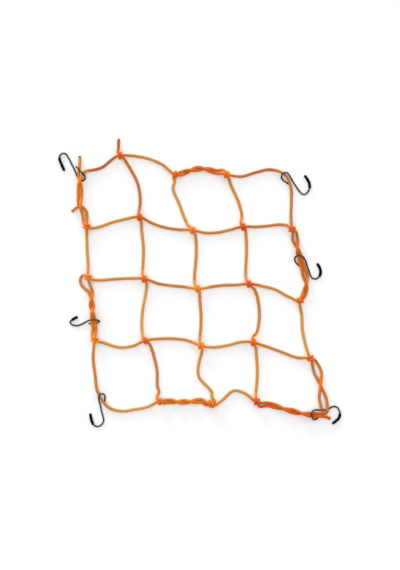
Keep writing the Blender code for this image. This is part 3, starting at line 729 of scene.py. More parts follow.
    def single(self, start: str, end: str) -> list[np.ndarray]:
        """Points of one cord lying between two stops.

        Args:
            start: name of the stop that the cord leaves.
            end: name of the stop that it reaches.

        Returns:
            Route points at its quarter points.
        """
        tone = self.find_span(start, end)[0].tone
        return [at_height(self.span_point(start, end, share), self.gauge.cord_z, tone)
                for share in QUARTERS[1:-1]]

    def halfway(self, start: str, end: str) -> np.ndarray:
        """The middle point of one cord lying between two stops."""
        return self.single(start, end)[1]

    @staticmethod
    def station_value(stations: tuple[PairStation, ...], share: float, column: str) -> float:
        """A value between the rows of a pair's table.

        Args:
            stations: the pair's table.
            share: how much of the span lies behind.
            column: name of the column; a spread is eased between its rows.

        Returns:
            The column's value there.
        """
        for before, after in zip(stations, stations[1:]):
            if share <= after.share:
                part = (share - before.share) / (after.share - before.share)
                if column == "spread":
                    part = eased(part)
                low, high = getattr(before, column), getattr(after, column)
                return low + (high - low) * part
        return getattr(stations[-1], column)

    def pair(self, start: str, end: str, strand: int) -> list[np.ndarray]:
        """Points of one of two cords lying together.

        Args:
            start: name of the stop at which the pair's table starts.
            end: name of the stop at which it ends.
            strand: 1 for the cord that starts outside, -1 for the one that starts inside.

        Returns:
            Route points from start to end.
        """
        gauge, stations = self.gauge, PAIRS[(start, end)]
        tone = self.find_span(start, end)[0].tone
        length = np.linalg.norm(self.stop(end) - self.stop(start))
        first, last = stations[0].share, stations[-1].share
        count = max(2, round((last - first) * length / gauge.pair_step_units))
        points = []
        for i in range(count + 1):
            share = first + (last - first) * i / count
            half_turns = self.station_value(stations, share, "half_turns")
            spread = self.station_value(stations, share, "spread") - gauge.pair_snug
            spread = max(gauge.pair_least, spread) * gauge.pair_pitch / UNIT
            ahead, behind = (self.span_point(start, end, share + step)
                             for step in (PAIR_HEADING_SHARE, -PAIR_HEADING_SHARE))
            offset = left_of(ahead - behind) * (
                0.5 * strand * spread * math.cos(math.pi * half_turns))
            over = 1 if math.floor(half_turns) % 2 == 0 else -1
            rise = 0.0
            if over == strand:
                rise = abs(math.sin(math.pi * half_turns)) ** gauge.rise_power
            points.append(at_height(self.span_point(start, end, share) + offset,
                                    gauge.cord_z + gauge.pair_rise * gauge.pair_pitch * rise,
                                    tone))
        return points

    def free(self, rows: tuple[FreePoint, ...], tone: float = HALF_TONE) -> list[np.ndarray]:
        """Route points from a short table."""
        return [at_height((row.x, row.y), self.gauge.cord_z + row.rise * self.gauge.pair_pitch,
                          tone) for row in rows]

    def crossing_line(self, stops: tuple[str, ...]) -> list[np.ndarray]:
        """The part of a row that the columns wrap.

        Args:
            stops: names of the row's stops, left to right.

        Returns:
            Route points between the legs of its two end knots, gripped at each cell knot.
        """
        points = []
        for start, end in zip(stops, stops[1:]):
            points += self.single(start, end)
            if end != stops[-1]:
                points += self.gripped(end)
        return points[1:-1]

    def wrapping_line(self, stops: tuple[str, ...]) -> list[np.ndarray]:
        """The part of a column that wraps the rows.

        Args:
            stops: names of the column's stops, top to bottom.

        Returns:
            Route points from the middle of its first span to the middle of its last.
        """
        points = [self.halfway(stops[0], stops[1])]
        for start, middle, end in zip(stops, stops[1:], stops[2:]):
            points += self.turns(middle, start, end) + [self.halfway(middle, end)]
        return points

    def border_route(self) -> list[np.ndarray]:
        """The border cord.

        Returns:
            Route points, clockwise from the joint on the left side.
        """
        points = self.free(BORDER_START)
        for start, end in zip(BORDER_STOPS, BORDER_STOPS[1:-1]):
            paired = (start, end) in PAIRS
            points += self.pair(start, end, -1) if paired else self.single(start, end)
            if end in KNOTS:
                points += self.gripped(end)
            elif end == "corner_br":
                points += self.free(BORDER_AT_CORNER_BR, CORNER_TONE)
            else:
                points.append(at_height(self.stop(end), self.gauge.cord_z))
        return points + self.free(BORDER_END)

    def column_route(self) -> list[np.ndarray]:
        """The column cord.

        Returns:
            Route points, from its tail at the top left to its stub at the bottom right.
        """
        points = [at_height(self.stop("tail_top"), self.gauge.cord_z)]
        points += self.turns("top_1", "cell_11", "tail_top")[::-1]
        points += self.wrapping_line(COLUMN_STOPS[0])
        points += self.turns("bottom_1", "cell_31", WayOut.ASIDE)
        points += self.pair("bottom_2", "bottom_1", 1)[::-1]
        points += self.turns("bottom_2", "cell_32", WayOut.ASIDE)[::-1]
        points += self.wrapping_line(COLUMN_STOPS[1])[::-1]
        points += self.turns("top_2", "cell_12", WayOut.ASIDE)
        points += self.pair("top_2", "top_3", 1)
        points += self.turns("top_3", "cell_13", WayOut.ASIDE)[::-1]
        points += self.wrapping_line(COLUMN_STOPS[2])
        points += self.turns("bottom_3", "cell_33", WayOut.ASIDE)
        points += self.pair("corner_br", "bottom_3", 1)[::-1]
        return points + self.free(COLUMN_END, CORNER_TONE)

    def row_route(self) -> list[np.ndarray]:
        """The row cord.

        Returns:
            Route points, from the bottom right corner to its tail at the top left.
        """
        points = self.pair("right_3", "corner_br", 1)[::-1]
        points += self.turns("right_3", "cell_33", WayOut.ASIDE)[::-1]
        points += self.crossing_line(ROW_STOPS[2])[::-1]
        points += self.turns("left_3", "cell_31", WayOut.ASIDE)
        points += self.pair("left_3", "left_2", 1) + self.free(ROW_LOOP)
        points += self.turns("left_2", "cell_21", WayOut.LOOP)[::-1]
        points += self.crossing_line(ROW_STOPS[1])
        points += self.turns("right_2", "cell_23", WayOut.ASIDE)
        points += self.pair("right_1", "right_2", 1)[::-1]
        points += self.turns("right_1", "cell_13", WayOut.ASIDE)[::-1]
        points += self.crossing_line(ROW_STOPS[0])[::-1]
        return points + self.turns("left_1", "cell_11", WayOut.ASIDE) + self.free(ROW_END)


def travelled_along(path: np.ndarray) -> np.ndarray:
    """Distance from the start of a path to each of its rows of x, y and z."""
    chords = np.linalg.norm(np.diff(path, axis=0), axis=1)
    return np.concatenate(([0.0], np.cumsum(chords)))


def smooth(points: list[np.ndarray], step: float) -> np.ndarray:
    """A curve through route points: rounded in plan, and never past a point's height.

    Args:
        points: route points, in layout units and metres of height.
        step: longest distance between the curve's own points, in metres.

    Returns:
        Rows of x, y, z in metres and the tone.
    """
    points = np.array(points)
    plan = points[:, :2] * UNIT
    heights = points[:, 2]
    tones = points[:, 3]
    full = np.column_stack((plan, heights))
    chords = np.linalg.norm(np.diff(full, axis=0), axis=1)
    rises = np.diff(heights) / chords
    slopes = np.zeros(len(points))
    for i in range(1, len(points) - 1):
        if rises[i - 1] * rises[i] > 0:
            slopes[i] = 2 * rises[i - 1] * rises[i] / (rises[i - 1] + rises[i])
    knots = np.concatenate(([0.0], np.cumsum(np.sqrt(chords))))
    tangents = np.zeros_like(plan)
    for i in range(len(points)):
        low, high = max(0, i - 1), min(len(points) - 1, i + 1)
        if low == i or high == i:
            tangents[i] = (plan[high] - plan[low]) / (knots[high] - knots[low])
            continue
        before, after = knots[i] - knots[low], knots[high] - knots[i]
        back = (plan[i] - plan[low]) / before
        ahead = (plan[high] - plan[i]) / after
        tangents[i] = (back * after + ahead * before) / (before + after)
    result = [np.array((*full[0], tones[0]))]
    for i, chord in enumerate(chords):
        width = knots[i + 1] - knots[i]
        count = max(2, math.ceil(chord / step))
        for k in range(1, count + 1):
            t = k / count
            # The four weights of a Hermite curve: start, start slope, end and end slope.
            h00 = (1 + 2 * t) * (1 - t) ** 2
            h10 = t * (1 - t) ** 2
            h01 = t * t * (3 - 2 * t)
            h11 = t * t * (t - 1)
            flat = (h00 * plan[i] + h01 * plan[i + 1]
                    + width * (h10 * tangents[i] + h11 * tangents[i + 1]))
            height = (h00 * heights[i] + h01 * heights[i + 1]
                      + chord * (h10 * slopes[i] + h11 * slopes[i + 1]))
            tone = tones[i] + (tones[i + 1] - tones[i]) * t
            result.append(np.array((*flat, height, tone)))
    return np.array(result)


def respace(rows: np.ndarray, step: float) -> np.ndarray:
    """The same path with its rows an equal distance apart.

    Args:
        rows: path rows, x, y, z and anything that goes with them.
        step: about how far apart the new rows are, in metres.

    Returns:
        The new rows.
    """
    travelled = travelled_along(rows[:, :3])
    count = max(2, round(travelled[-1] / step))
    places = np.linspace(0.0, travelled[-1], count + 1)
    return np.column_stack([np.interp(places, travelled, column) for column in rows.T])


def relax(rows: np.ndarray, step: float, reach: float) -> np.ndarray:
    """Takes the small kinks out of an evenly spaced path, as a springy cord would.

    Args:
        rows: evenly spaced path rows.
        step: their spacing, in metres.
        reach: standard deviation of the smoothing, in metres.

    Returns:
        The path with both ends kept in place.
    """
    half = math.ceil(3 * reach / step)
    offsets = np.arange(-half, half + 1)
    weights = np.exp(-0.5 * (offsets * step / reach) ** 2)
    weights /= weights.sum()
    start, end = rows[0], rows[-1]
    before = 2 * start - rows[half:0:-1]
    after = 2 * end - rows[-2:-half - 2:-1]
    padded = np.vstack((before, rows, after))
    return np.column_stack([np.convolve(column, weights, mode="valid") for column in padded.T])


# ------------------------------------------------------------------------------------- tubes

TUBE_UV = "length_and_girth"
# Part of a quarter turn that a nose is rounded by, which leaves a small flat face at its tip.
NOSE_TURN = 0.94
# Points nearer than this are one point, in metres.
WELD = 1e-7


def carried_frames(path: np.ndarray) -> tuple[np.ndarray, np.ndarray]:
    """Side and up vectors carried along a path with no twist about it.

    Args:
        path: rows of x, y, z.

    Returns:
        The side vectors and the up vectors, one of each a row.
    """
    ahead = np.gradient(path, axis=0)
    ahead /= np.linalg.norm(ahead, axis=1)[:, None]
    side = np.cross(ahead[0], (0.0, 0.0, 1.0))
    side /= np.linalg.norm(side)
    sides = [side]
    for direction in ahead[1:]:
        side = side - direction * (side @ direction)
        side = side / np.linalg.norm(side)
        sides.append(side)
    sides = np.array(sides)
    return sides, np.cross(sides, ahead)


def with_nose(path: np.ndarray, radii: np.ndarray, at_start: bool, depth: float,
              steps: int) -> tuple[np.ndarray, np.ndarray]:
    """Closes one end of a tube's path with a rounded nose.

    Args:
        path: rows of x, y, z.
        radii: a radius for each row.
        at_start: whether the nose goes before the first row, or after the last.
        depth: length of the nose, as a share of the end's radius.
        steps: number of rows to add.

    Returns:
        The longer path and its radii.
    """
    if at_start:
        path, radii = path[::-1], radii[::-1]
    direction = path[-1] - path[-2]
    direction = direction / np.linalg.norm(direction)
    radius = radii[-1]
    angles = np.linspace(0, math.pi / 2, steps + 1)[1:] * NOSE_TURN
    path = np.vstack((path, [path[-1] + direction * radius * depth * math.sin(angle)
                             for angle in angles]))
    radii = np.concatenate((radii, radius * np.cos(angles)))
    if at_start:
        path, radii = path[::-1], radii[::-1]
    return path, radii


def rolled_tube(name: str, path: np.ndarray, radii: np.ndarray, sides: int) -> bpy.types.Object:
    """A closed tube rolled from a grid along a path, flat where it rests on the surface.

    Its UV map runs along the tube in metres and once round it.

    Args:
        name: name of the object and its mesh.
        path: rows of x, y, z in metres.
        radii: a radius for each row.
        sides: number of faces round the tube.

    Returns:
        The tube's object, linked to the scene.
    """
    rings = len(path)
    work = bmesh.new()
    bmesh.ops.create_grid(work, x_segments=rings - 1, y_segments=sides, size=1.0, calc_uvs=False)
    side_vectors, up_vectors = carried_frames(path)
    travelled = travelled_along(path)
    places = np.array([vertex.co[:2] for vertex in work.verts])
    ring = np.rint((places[:, 0] + 1) / 2 * (rings - 1)).astype(int)
    turn = np.rint((places[:, 1] + 1) / 2 * sides).astype(int)
    angle = turn * 2 * math.pi / sides
    spots = path[ring] + radii[ring, None] * (
        np.cos(angle)[:, None] * side_vectors[ring] + np.sin(angle)[:, None] * up_vectors[ring])
    spots[:, 2] = np.maximum(spots[:, 2], 0.0)
    uv_layer = work.loops.layers.uv.new(TUBE_UV)
    work.verts.index_update()
    for face in work.faces:
        for loop in face.loops:
            index = loop.vert.index
            loop[uv_layer].uv = (travelled[ring[index]], turn[index] / sides)
    for vertex, spot in zip(work.verts, spots):
        vertex.co = spot
    seam = [vertex for vertex, step in zip(work.verts, turn) if step in (0, sides)]
    bmesh.ops.remove_doubles(work, verts=seam, dist=WELD)
    rims = [edge for edge in work.edges if edge.is_boundary]
    bmesh.ops.holes_fill(work, edges=rims, sides=0)
    bmesh.ops.recalc_face_normals(work, faces=work.faces)
    mesh = bpy.data.meshes.new(name)
    work.to_mesh(mesh)
    work.free()
    mesh.shade_smooth()
    piece = bpy.data.objects.new(name, mesh)
    bpy.context.scene.collection.objects.link(piece)
    return piece


# ------------------------------------------------------------------------------------ finishes

Colour = tuple[float, float, float, float]


@dataclass
class Painter:
    """Adds nodes to the tree of a material, a node group or the world, and links them."""

    tree: bpy.types.NodeTree

    def node(self, kind: str, settings: dict | None = None, **inputs: object) -> bpy.types.Node:
        """Adds a node.

        Args:
            kind: the node's type, without its "ShaderNode" prefix.
            settings: the node's own properties by name.
            inputs: sockets by name, or by number as "i0", given a value or a socket to link.

        Returns:
            The new node.
        """
        made = self.tree.nodes.new("ShaderNode" + kind)
        for name, value in (settings or {}).items():
            setattr(made, name, value)
        for name, value in inputs.items():
            numbered = name[0] == "i" and name[1:].isdigit()
            socket = made.inputs[int(name[1:]) if numbered else name.replace("_", " ")]
            if isinstance(value, bpy.types.NodeSocket):
                self.tree.links.new(value, socket)
            else:
                socket.default_value = value
        return made

    def maths(self, operation: str, first: object, second: object = 0.0,
              third: object = 0.0) -> bpy.types.NodeSocket:
        """The result of one Math node."""
        return self.node("Math", {"operation": operation}, i0=first, i1=second,
                         i2=third).outputs[0]

    def blend(self, share: object, first: object, second: object) -> bpy.types.NodeSocket:
        """A colour between two colours."""
        mixed = self.node("Mix", {"data_type": "RGBA"}, i0=share, i6=first, i7=second)
        return mixed.outputs[2]

    def blend_values(self, share: object, first: object, second: object) -> bpy.types.NodeSocket:
        """A number between two numbers."""
        mixed = self.node("Mix", {"data_type": "FLOAT"}, i0=share, i2=first, i3=second)
        return mixed.outputs[0]

    def attribute(self, name: str) -> bpy.types.NodeSocket:
        """The value of a number that is written on the mesh's points."""
        return self.node("Attribute", {"attribute_name": name}).outputs["Fac"]

    def noise(self, place: object, scale: float, detail: float = 2.0) -> bpy.types.NodeSocket:
        """Smooth noise from 0 to 1."""
        made = self.node("TexNoise", Vector=place, Scale=scale, Detail=detail)
        return made.outputs["Fac"]

    def link(self, socket: bpy.types.NodeSocket, target: bpy.types.NodeSocket) -> None:
        """Links a node's output to another's input."""
        self.tree.links.new(socket, target)


def paint(name: str) -> tuple[bpy.types.Material, Painter, bpy.types.Node]:
    """Starts a material.

    Args:
        name: name of the material.

    Returns:
        The material, its painter and its Principled shader.
    """
    material = bpy.data.materials.new(name)
    material.use_nodes = True
    return (material, Painter(material.node_tree),
            material.node_tree.nodes["Principled BSDF"])


@dataclass(frozen=True)
class BraidPattern:
    """Strands of a braided sheath that cross over and under each other."""

    name: str = "braided_sheath"
    crown_power: float = 0.6
    dip: float = 0.35
    gap_below: float = 0.10
    gap_clear: float = 0.42

    def group(self) -> bpy.types.NodeTree:
        """The node group of the pattern, made once.

        Returns:
            A group that turns a UV of metres along and turns round into the height of the
            strands, the depth of the gaps between them and a number for each visible patch.
        """
        if self.name in bpy.data.node_groups:
            return bpy.data.node_groups[self.name]
        tree = bpy.data.node_groups.new(self.name, "ShaderNodeTree")
        for label, kind in (("UV", "NodeSocketVector"), ("Strands", "NodeSocketFloat"),
                            ("Pitch", "NodeSocketFloat")):
            tree.interface.new_socket(label, in_out="INPUT", socket_type=kind)
        for label in ("Height", "Gap", "Patch"):
            tree.interface.new_socket(label, in_out="OUTPUT", socket_type="NodeSocketFloat")
        painter = Painter(tree)
        given = tree.nodes.new("NodeGroupInput")
        result = tree.nodes.new("NodeGroupOutput")
        split = painter.node("SeparateXYZ", Vector=given.outputs["UV"])
        along = painter.maths("DIVIDE", split.outputs["X"], given.outputs["Pitch"])
        around = painter.maths("MULTIPLY", split.outputs["Y"], given.outputs["Strands"])
        left = painter.maths("ADD", along, around)
        right = painter.maths("SUBTRACT", along, around)
        crowns, cells = [], []
        for strand in (left, right):
            cells.append(painter.maths("FLOOR", strand))
            turned = painter.maths("MULTIPLY", painter.maths("FRACT", strand), math.pi)
            crowns.append(painter.maths("SINE", turned))
        parity = painter.maths("FLOORED_MODULO", painter.maths("ADD", *cells), 2.0)
        heights = []
        for across, lengthwise in (crowns, crowns[::-1]):
            crown = painter.maths("POWER", across, self.crown_power)
            wave = painter.maths("MULTIPLY_ADD", lengthwise, self.dip, 1.0 - self.dip)
            heights.append(painter.maths("MULTIPLY", crown, wave))
        height = painter.blend_values(parity, *heights)
        gap = painter.node("MapRange", {"clamp": True}, Value=height, From_Min=self.gap_below,
                           From_Max=self.gap_clear, To_Min=1.0, To_Max=0.0).outputs[0]
        place = painter.node("CombineXYZ", X=cells[0], Y=cells[1]).outputs[0]
        patch = painter.node("TexWhiteNoise", {"noise_dimensions": "2D"}, Vector=place).outputs[0]
        for label, socket in (("Height", height), ("Gap", gap), ("Patch", patch)):
            painter.link(socket, result.inputs[label])
        return tree


@dataclass(frozen=True)
class BraidedFinish:
    """Orange braided sheath of the elastic cords, sealed at the cut ends."""

    russet: Colour = (0.43, 0.110, 0.026, 1.0)
    orange: Colour = (0.585, 0.218, 0.040, 1.0)
    amber: Colour = (0.64, 0.320, 0.075, 1.0)
    # Painted shade for the gaps between the braid's strands.
    gap_shade: Colour = (0.30, 0.055, 0.005, 1.0)
    sealed: Colour = (0.13, 0.035, 0.012, 1.0)
    # Where the three colours stand on the scale of tones.
    russet_at: float = 0.10
    orange_at: float = 0.58
    amber_at: float = 1.05
    # The braid: strands round the cord, metres along for each, and how much painted shade darkens
    # its gaps.
    strands: float = 10.0
    pitch: float = 0.0015
    gap_share: float = 0.75
    relief: float = 0.00016
    relief_strength: float = 0.8
    # Slow drift of the tone along the cords, and the difference from strand to strand.
    drift_scale: float = 22.0
    drift: float = 0.30
    patches: float = 0.16
    # Knotted or crowded cords: a shift of hue and saturation, and painted light that raises the
    # value.
    vivid_hue: float = -0.016
    vivid_saturation: float = 0.50
    crowd_painted_light: float = 0.32
    # The colour of the light that the cords throw on what is near them, and its share.
    thrown: Colour = (0.80, 0.62, 0.36, 1.0)
    thrown_share: float = 0.6
    # The fibres of the yarn, and the sheath's gloss.
    yarn_scale: float = 2600.0
    yarn_roughness: float = 0.20
    yarn_relief: float = 0.18
    roughness: float = 0.62
    sealed_gloss: float = 0.25
    specular: float = 0.25
    sheen: float = 0.10
    sheen_roughness: float = 0.40
    sheen_tint: Colour = (1.0, 0.78, 0.58, 1.0)

    def colour(self, painter: Painter, place: bpy.types.NodeSocket, gap: bpy.types.NodeSocket,
               patch: bpy.types.NodeSocket,
               sealed: bpy.types.NodeSocket) -> bpy.types.NodeSocket:
        """Builds the colour of the sheath.

        Args:
            painter: the material's painter.
            place: Object coordinates.
            gap: depth of the gaps in the braid.
            patch: the number of each strand's visible patch.
            sealed: 1 on the sealed ends, 0 elsewhere.

        Returns:
            The colour.
        """
        drifting = painter.maths("MULTIPLY_ADD", painter.noise(place, self.drift_scale),
                                 self.drift, -0.5 * self.drift)
        toned = painter.maths("ADD", painter.attribute("tone"), drifting)
        ramp = painter.node("ValToRGB",
                            Fac=painter.maths("MULTIPLY_ADD", patch, self.patches, toned))
        stops = ramp.color_ramp.elements
        stops[0].position, stops[0].color = self.russet_at, self.russet
        stops[1].position, stops[1].color = self.amber_at, self.amber
        stops.new(self.orange_at).color = self.orange
        # Painted shade: the gaps between the braid's strands are darkened toward a deep russet.
        shaded = painter.blend(painter.maths("MULTIPLY", gap, self.gap_share),
                               ramp.outputs["Color"], self.gap_shade)
        vivid = painter.attribute("vivid")
        # Painted light: knotted and crowded stretches are made brighter, redder and more
        # saturated.
        tinted_and_lit = painter.node(
            "HueSaturation", Color=shaded,
            Hue=painter.maths("MULTIPLY_ADD", vivid, self.vivid_hue, 0.5),
            Saturation=painter.maths("MULTIPLY_ADD", vivid, self.vivid_saturation, 1.0),
            Value=painter.maths("MULTIPLY_ADD", vivid, self.crowd_painted_light, 1.0))
        ended = painter.blend(sealed, tinted_and_lit.outputs[0], self.sealed)
        bounced = painter.node("LightPath").outputs["Is Diffuse Ray"]
        return painter.blend(painter.maths("MULTIPLY", bounced, self.thrown_share), ended,
                             self.thrown)

    def material(self) -> bpy.types.Material:
        """Builds the cord material.

        Returns:
            A material that reads the tube's UV map and its tone, vivid and sealed attributes.
        """
        material, painter, shader = paint("braided_orange_cord")
        uv = painter.node("UVMap", {"uv_map": TUBE_UV}).outputs["UV"]
        braid = painter.node("Group", {"node_tree": BraidPattern().group()}, UV=uv,
                             Strands=self.strands, Pitch=self.pitch)
        place = painter.node("TexCoord").outputs["Object"]
        sealed = painter.attribute("sealed")
        painter.link(self.colour(painter, place, braid.outputs["Gap"], braid.outputs["Patch"],
                                 sealed), shader.inputs["Base Color"])
        yarn = painter.noise(place, self.yarn_scale)
        rough = painter.maths("MULTIPLY_ADD", yarn, self.yarn_roughness,
                              self.roughness - 0.5 * self.yarn_roughness)
        painter.link(painter.maths("MULTIPLY_ADD", sealed, -self.sealed_gloss, rough),
                     shader.inputs["Roughness"])
        fuzzy = painter.maths("MULTIPLY_ADD", yarn, self.yarn_relief, braid.outputs["Height"])
        relief = painter.maths("MULTIPLY", fuzzy, painter.maths("SUBTRACT", 1.0, sealed))
        bump = painter.node("Bump", Strength=self.relief_strength, Distance=self.relief,
                            Height=relief)
        painter.link(bump.outputs["Normal"], shader.inputs["Normal"])
        shader.inputs["Sheen Weight"].default_value = self.sheen
        shader.inputs["Sheen Roughness"].default_value = self.sheen_roughness
        shader.inputs["Sheen Tint"].default_value = self.sheen_tint
        shader.inputs["Specular IOR Level"].default_value = self.specular
        return material


@dataclass(frozen=True)
class PlatedFinish:
    """Dark plated steel wire, a little duller and browner in patches."""

    bright: Colour = (0.085, 0.085, 0.080, 1.0)
    dull: Colour = (0.030, 0.028, 0.025, 1.0)
    patch_scale: float = 240.0
    dull_from: float = 0.35
    dull_to: float = 0.68
    roughness: float = 0.27
    dull_roughness: float = 0.22
    metallic: float = 0.92
    # Fine lines left by drawing the wire: how closely they lie along it and round it.
    lines: tuple[float, float, float] = (300.0, 60.0, 1.0)
    line_depth: float = 0.00004
    line_strength: float = 0.5

    def material(self) -> bpy.types.Material:
        """Builds the wire material.

        Returns:
            A material that reads the tube's UV map.
        """
        material, painter, shader = paint("plated_wire")
        place = painter.node("TexCoord").outputs["Object"]
        share = painter.node("MapRange", {"clamp": True},
                             Value=painter.noise(place, self.patch_scale, detail=4.0),
                             From_Min=self.dull_from, From_Max=self.dull_to).outputs[0]
        painter.link(painter.blend(share, self.bright, self.dull), shader.inputs["Base Color"])
        painter.link(painter.maths("MULTIPLY_ADD", share, self.dull_roughness, self.roughness),
                     shader.inputs["Roughness"])
        uv = painter.node("UVMap", {"uv_map": TUBE_UV}).outputs["UV"]
        drawn = painter.node("Mapping", Vector=uv, Scale=self.lines).outputs[0]
        bump = painter.node("Bump", Strength=self.line_strength, Distance=self.line_depth,
                            Height=painter.noise(drawn, scale=1.0, detail=3.0))
        painter.link(bump.outputs["Normal"], shader.inputs["Normal"])
        shader.inputs["Metallic"].default_value = self.metallic
        return material


@dataclass(frozen=True)
class DippedFinish:
    """Black vinyl that the hook ends are dipped in."""

    colour: Colour = (0.0016, 0.0016, 0.0018, 1.0)
    scuffed: Colour = (0.003, 0.003, 0.0035, 1.0)
    scuff_scale: float = 700.0
    scuffed_from: float = 0.52
    scuffed_to: float = 0.72
    roughness: float = 0.17
    scuff_roughness: float = 0.25
    lump_scale: float = 420.0
    lump_height: float = 0.0002
    lump_strength: float = 0.35
    specular: float = 0.02

    def material(self) -> bpy.types.Material:
        """Builds the coating material, faintly lumpy and scuffed.

        Returns:
            The material.
        """
        material, painter, shader = paint("dipped_black_vinyl")
        place = painter.node("TexCoord").outputs["Object"]
        share = painter.node("MapRange", {"clamp": True},
                             Value=painter.noise(place, self.scuff_scale, detail=5.0),
                             From_Min=self.scuffed_from, From_Max=self.scuffed_to).outputs[0]
        painter.link(painter.blend(share, self.colour, self.scuffed),
                     shader.inputs["Base Color"])
        painter.link(painter.maths("MULTIPLY_ADD", share, self.scuff_roughness, self.roughness),
                     shader.inputs["Roughness"])
        bump = painter.node("Bump", Strength=self.lump_strength, Distance=self.lump_height,
                            Height=painter.noise(place, self.lump_scale, detail=1.0))
        painter.link(bump.outputs["Normal"], shader.inputs["Normal"])
        shader.inputs["Specular IOR Level"].default_value = self.specular
        return material


@dataclass(frozen=True)
class FloorFinish:
    """Smooth matt white paper sweep."""

    paper: Colour = (0.93, 0.93, 0.93, 1.0)
    faint: Colour = (0.91, 0.91, 0.915, 1.0)
    cloud_scale: float = 3.0
    roughness: float = 0.9
    specular: float = 0.1

    def material(self) -> bpy.types.Material:
        """Builds the floor material.

        Returns:
            The material.
        """
        material, painter, shader = paint("white_sweep")
        place = painter.node("TexCoord").outputs["Object"]
        clouds = painter.noise(place, self.cloud_scale)
        painter.link(painter.blend(clouds, self.paper, self.faint), shader.inputs["Base Color"])
        shader.inputs["Roughness"].default_value = self.roughness
        shader.inputs["Specular IOR Level"].default_value = self.specular
        return material


# ------------------------------------------------------------------------------ sub-assemblies


def set_attribute(piece: bpy.types.Object, name: str, path: np.ndarray,
                  values: np.ndarray) -> None:
    """Writes a value of each path row on the ring of points round it.

    Args:
        piece: the tube.
        name: name of the attribute.
        path: the tube's path rows, x, y, z.
        values: one value for each row.
    """
    mesh = piece.data
    by_point = np.zeros(len(mesh.vertices))
    for loop, uv in zip(mesh.loops, mesh.uv_layers[TUBE_UV].data):
        by_point[loop.vertex_index] = uv.uv[0]
    attribute = mesh.attributes.new(name, "FLOAT", "POINT")
    attribute.data.foreach_set("value", np.interp(by_point, travelled_along(path), values))


@dataclass
class ElasticNet:
    """The three knotted cords of the net."""

    plan: NetPlan
    finish: BraidedFinish
    sides: int = 20
    fine_step: float = 0.0004
    ring_step: float = 0.0008
    spring_reach: float = 0.0011
    # The ends: a shallow nose, and a sealed stretch that fades over the next one.
    nose_depth: float = 0.35
    nose_rows: int = 4
    seal_length: float = 0.0022
    seal_solid: float = 0.4
    # Crowding: the distances between axes at which a cord lies alone, or is pressed, how far
    # along itself a cord isn't its own neighbour, the rows it fades over, and how strongly
    # crowding shifts its colour and adds painted light.
    alone: float = 0.0078
    pressed: float = 0.0056
    same_stretch: float = 0.014
    fade_rows: int = 9
    crowd_share: float = 0.8

    def axis(self, route: list[np.ndarray]) -> np.ndarray:
        """Rows of x, y, z and tone, evenly spaced along a cord.

        Args:
            route: the cord's route points.

        Returns:
            The rows.
        """
        rows = respace(smooth(route, self.fine_step), self.fine_step)
        rows = relax(rows, self.fine_step, self.spring_reach)
        for row in rows:
            row[2] += self.plan.lifted(row[0] / UNIT, row[1] / UNIT)
        return respace(rows, self.ring_step)

    def crowding(self, axes: dict[str, np.ndarray]) -> dict[str, np.ndarray]:
        """How closely another length of cord runs beside each row of each cord.

        Args:
            axes: the rows of every cord.

        Returns:
            For each cord, one value a row: 0 alone, 1 pressed against another length.
        """
        owners = [(name, i) for name, rows in axes.items() for i in range(len(rows))]
        tree = KDTree(len(owners))
        for index, (name, i) in enumerate(owners):
            tree.insert(axes[name][i, :3], index)
        tree.balance()
        same_stretch = round(self.same_stretch / self.ring_step)
        kernel = np.hanning(self.fade_rows)
        kernel /= kernel.sum()
        result = {}
        for name, rows in axes.items():
            nearest = []
            for i, row in enumerate(rows):
                found = [distance for _, index, distance in tree.find_range(row[:3], self.alone)
                         if owners[index][0] != name or abs(owners[index][1] - i) > same_stretch]
                nearest.append(min(found, default=self.alone))
            pressed = (self.alone - np.array(nearest)) / (self.alone - self.pressed)
            result[name] = np.convolve(np.clip(pressed, 0.0, 1.0), kernel, "same")
        return result

    def cord(self, name: str, rows: np.ndarray, crowded: np.ndarray,
             material: bpy.types.Material) -> bpy.types.Object:
        """Builds and dresses one cord.

        Args:
            name: the cord's name.
            rows: x, y, z and tone along it.
            crowded: how closely another length of cord runs beside each row.
            material: its finish.

        Returns:
            The cord's object, in layout coordinates.
        """
        path = rows[:, :3]
        radii = np.array([self.plan.cord_radius(x / UNIT, y / UNIT) for x, y, _ in path])
        for at_start in (True, False):
            path, radii = with_nose(path, radii, at_start, self.nose_depth, self.nose_rows)
        travelled = travelled_along(path)
        to_end = np.minimum(travelled, travelled[-1] - travelled)
        knotted = np.array([self.plan.knotted(x / UNIT, y / UNIT) for x, y, _ in path])
        crowded = self.crowd_share * np.pad(crowded, self.nose_rows, mode="edge")
        piece = rolled_tube(name + "_braid", path, radii, self.sides)
        for label, values in (
            ("tone", np.pad(rows[:, 3], self.nose_rows, mode="edge")),
            ("sealed", np.clip(1 + self.seal_solid - to_end / self.seal_length, 0.0, 1.0)),
            ("vivid", np.maximum(knotted, crowded)),
        ):
            set_attribute(piece, label, path, values)
        piece.data.materials.append(material)
        LOG.info("%s: %.3f m of cord, %d rings", piece.name, travelled[-1], len(path))
        return piece

    def build(self) -> dict[str, bpy.types.Object]:
        """Builds the cords.

        Returns:
            The cords by the name of the solid that each stands for.
        """
        material = self.finish.material()
        routes = {"border_cord": self.plan.border_route(),
                  "column_cord": self.plan.column_route(),
                  "row_cord": self.plan.row_route()}
        axes = {name: self.axis(route) for name, route in routes.items()}
        crowding = self.crowding(axes)
        return {name: self.cord(name, rows, crowding[name], material)
                for name, rows in axes.items()}


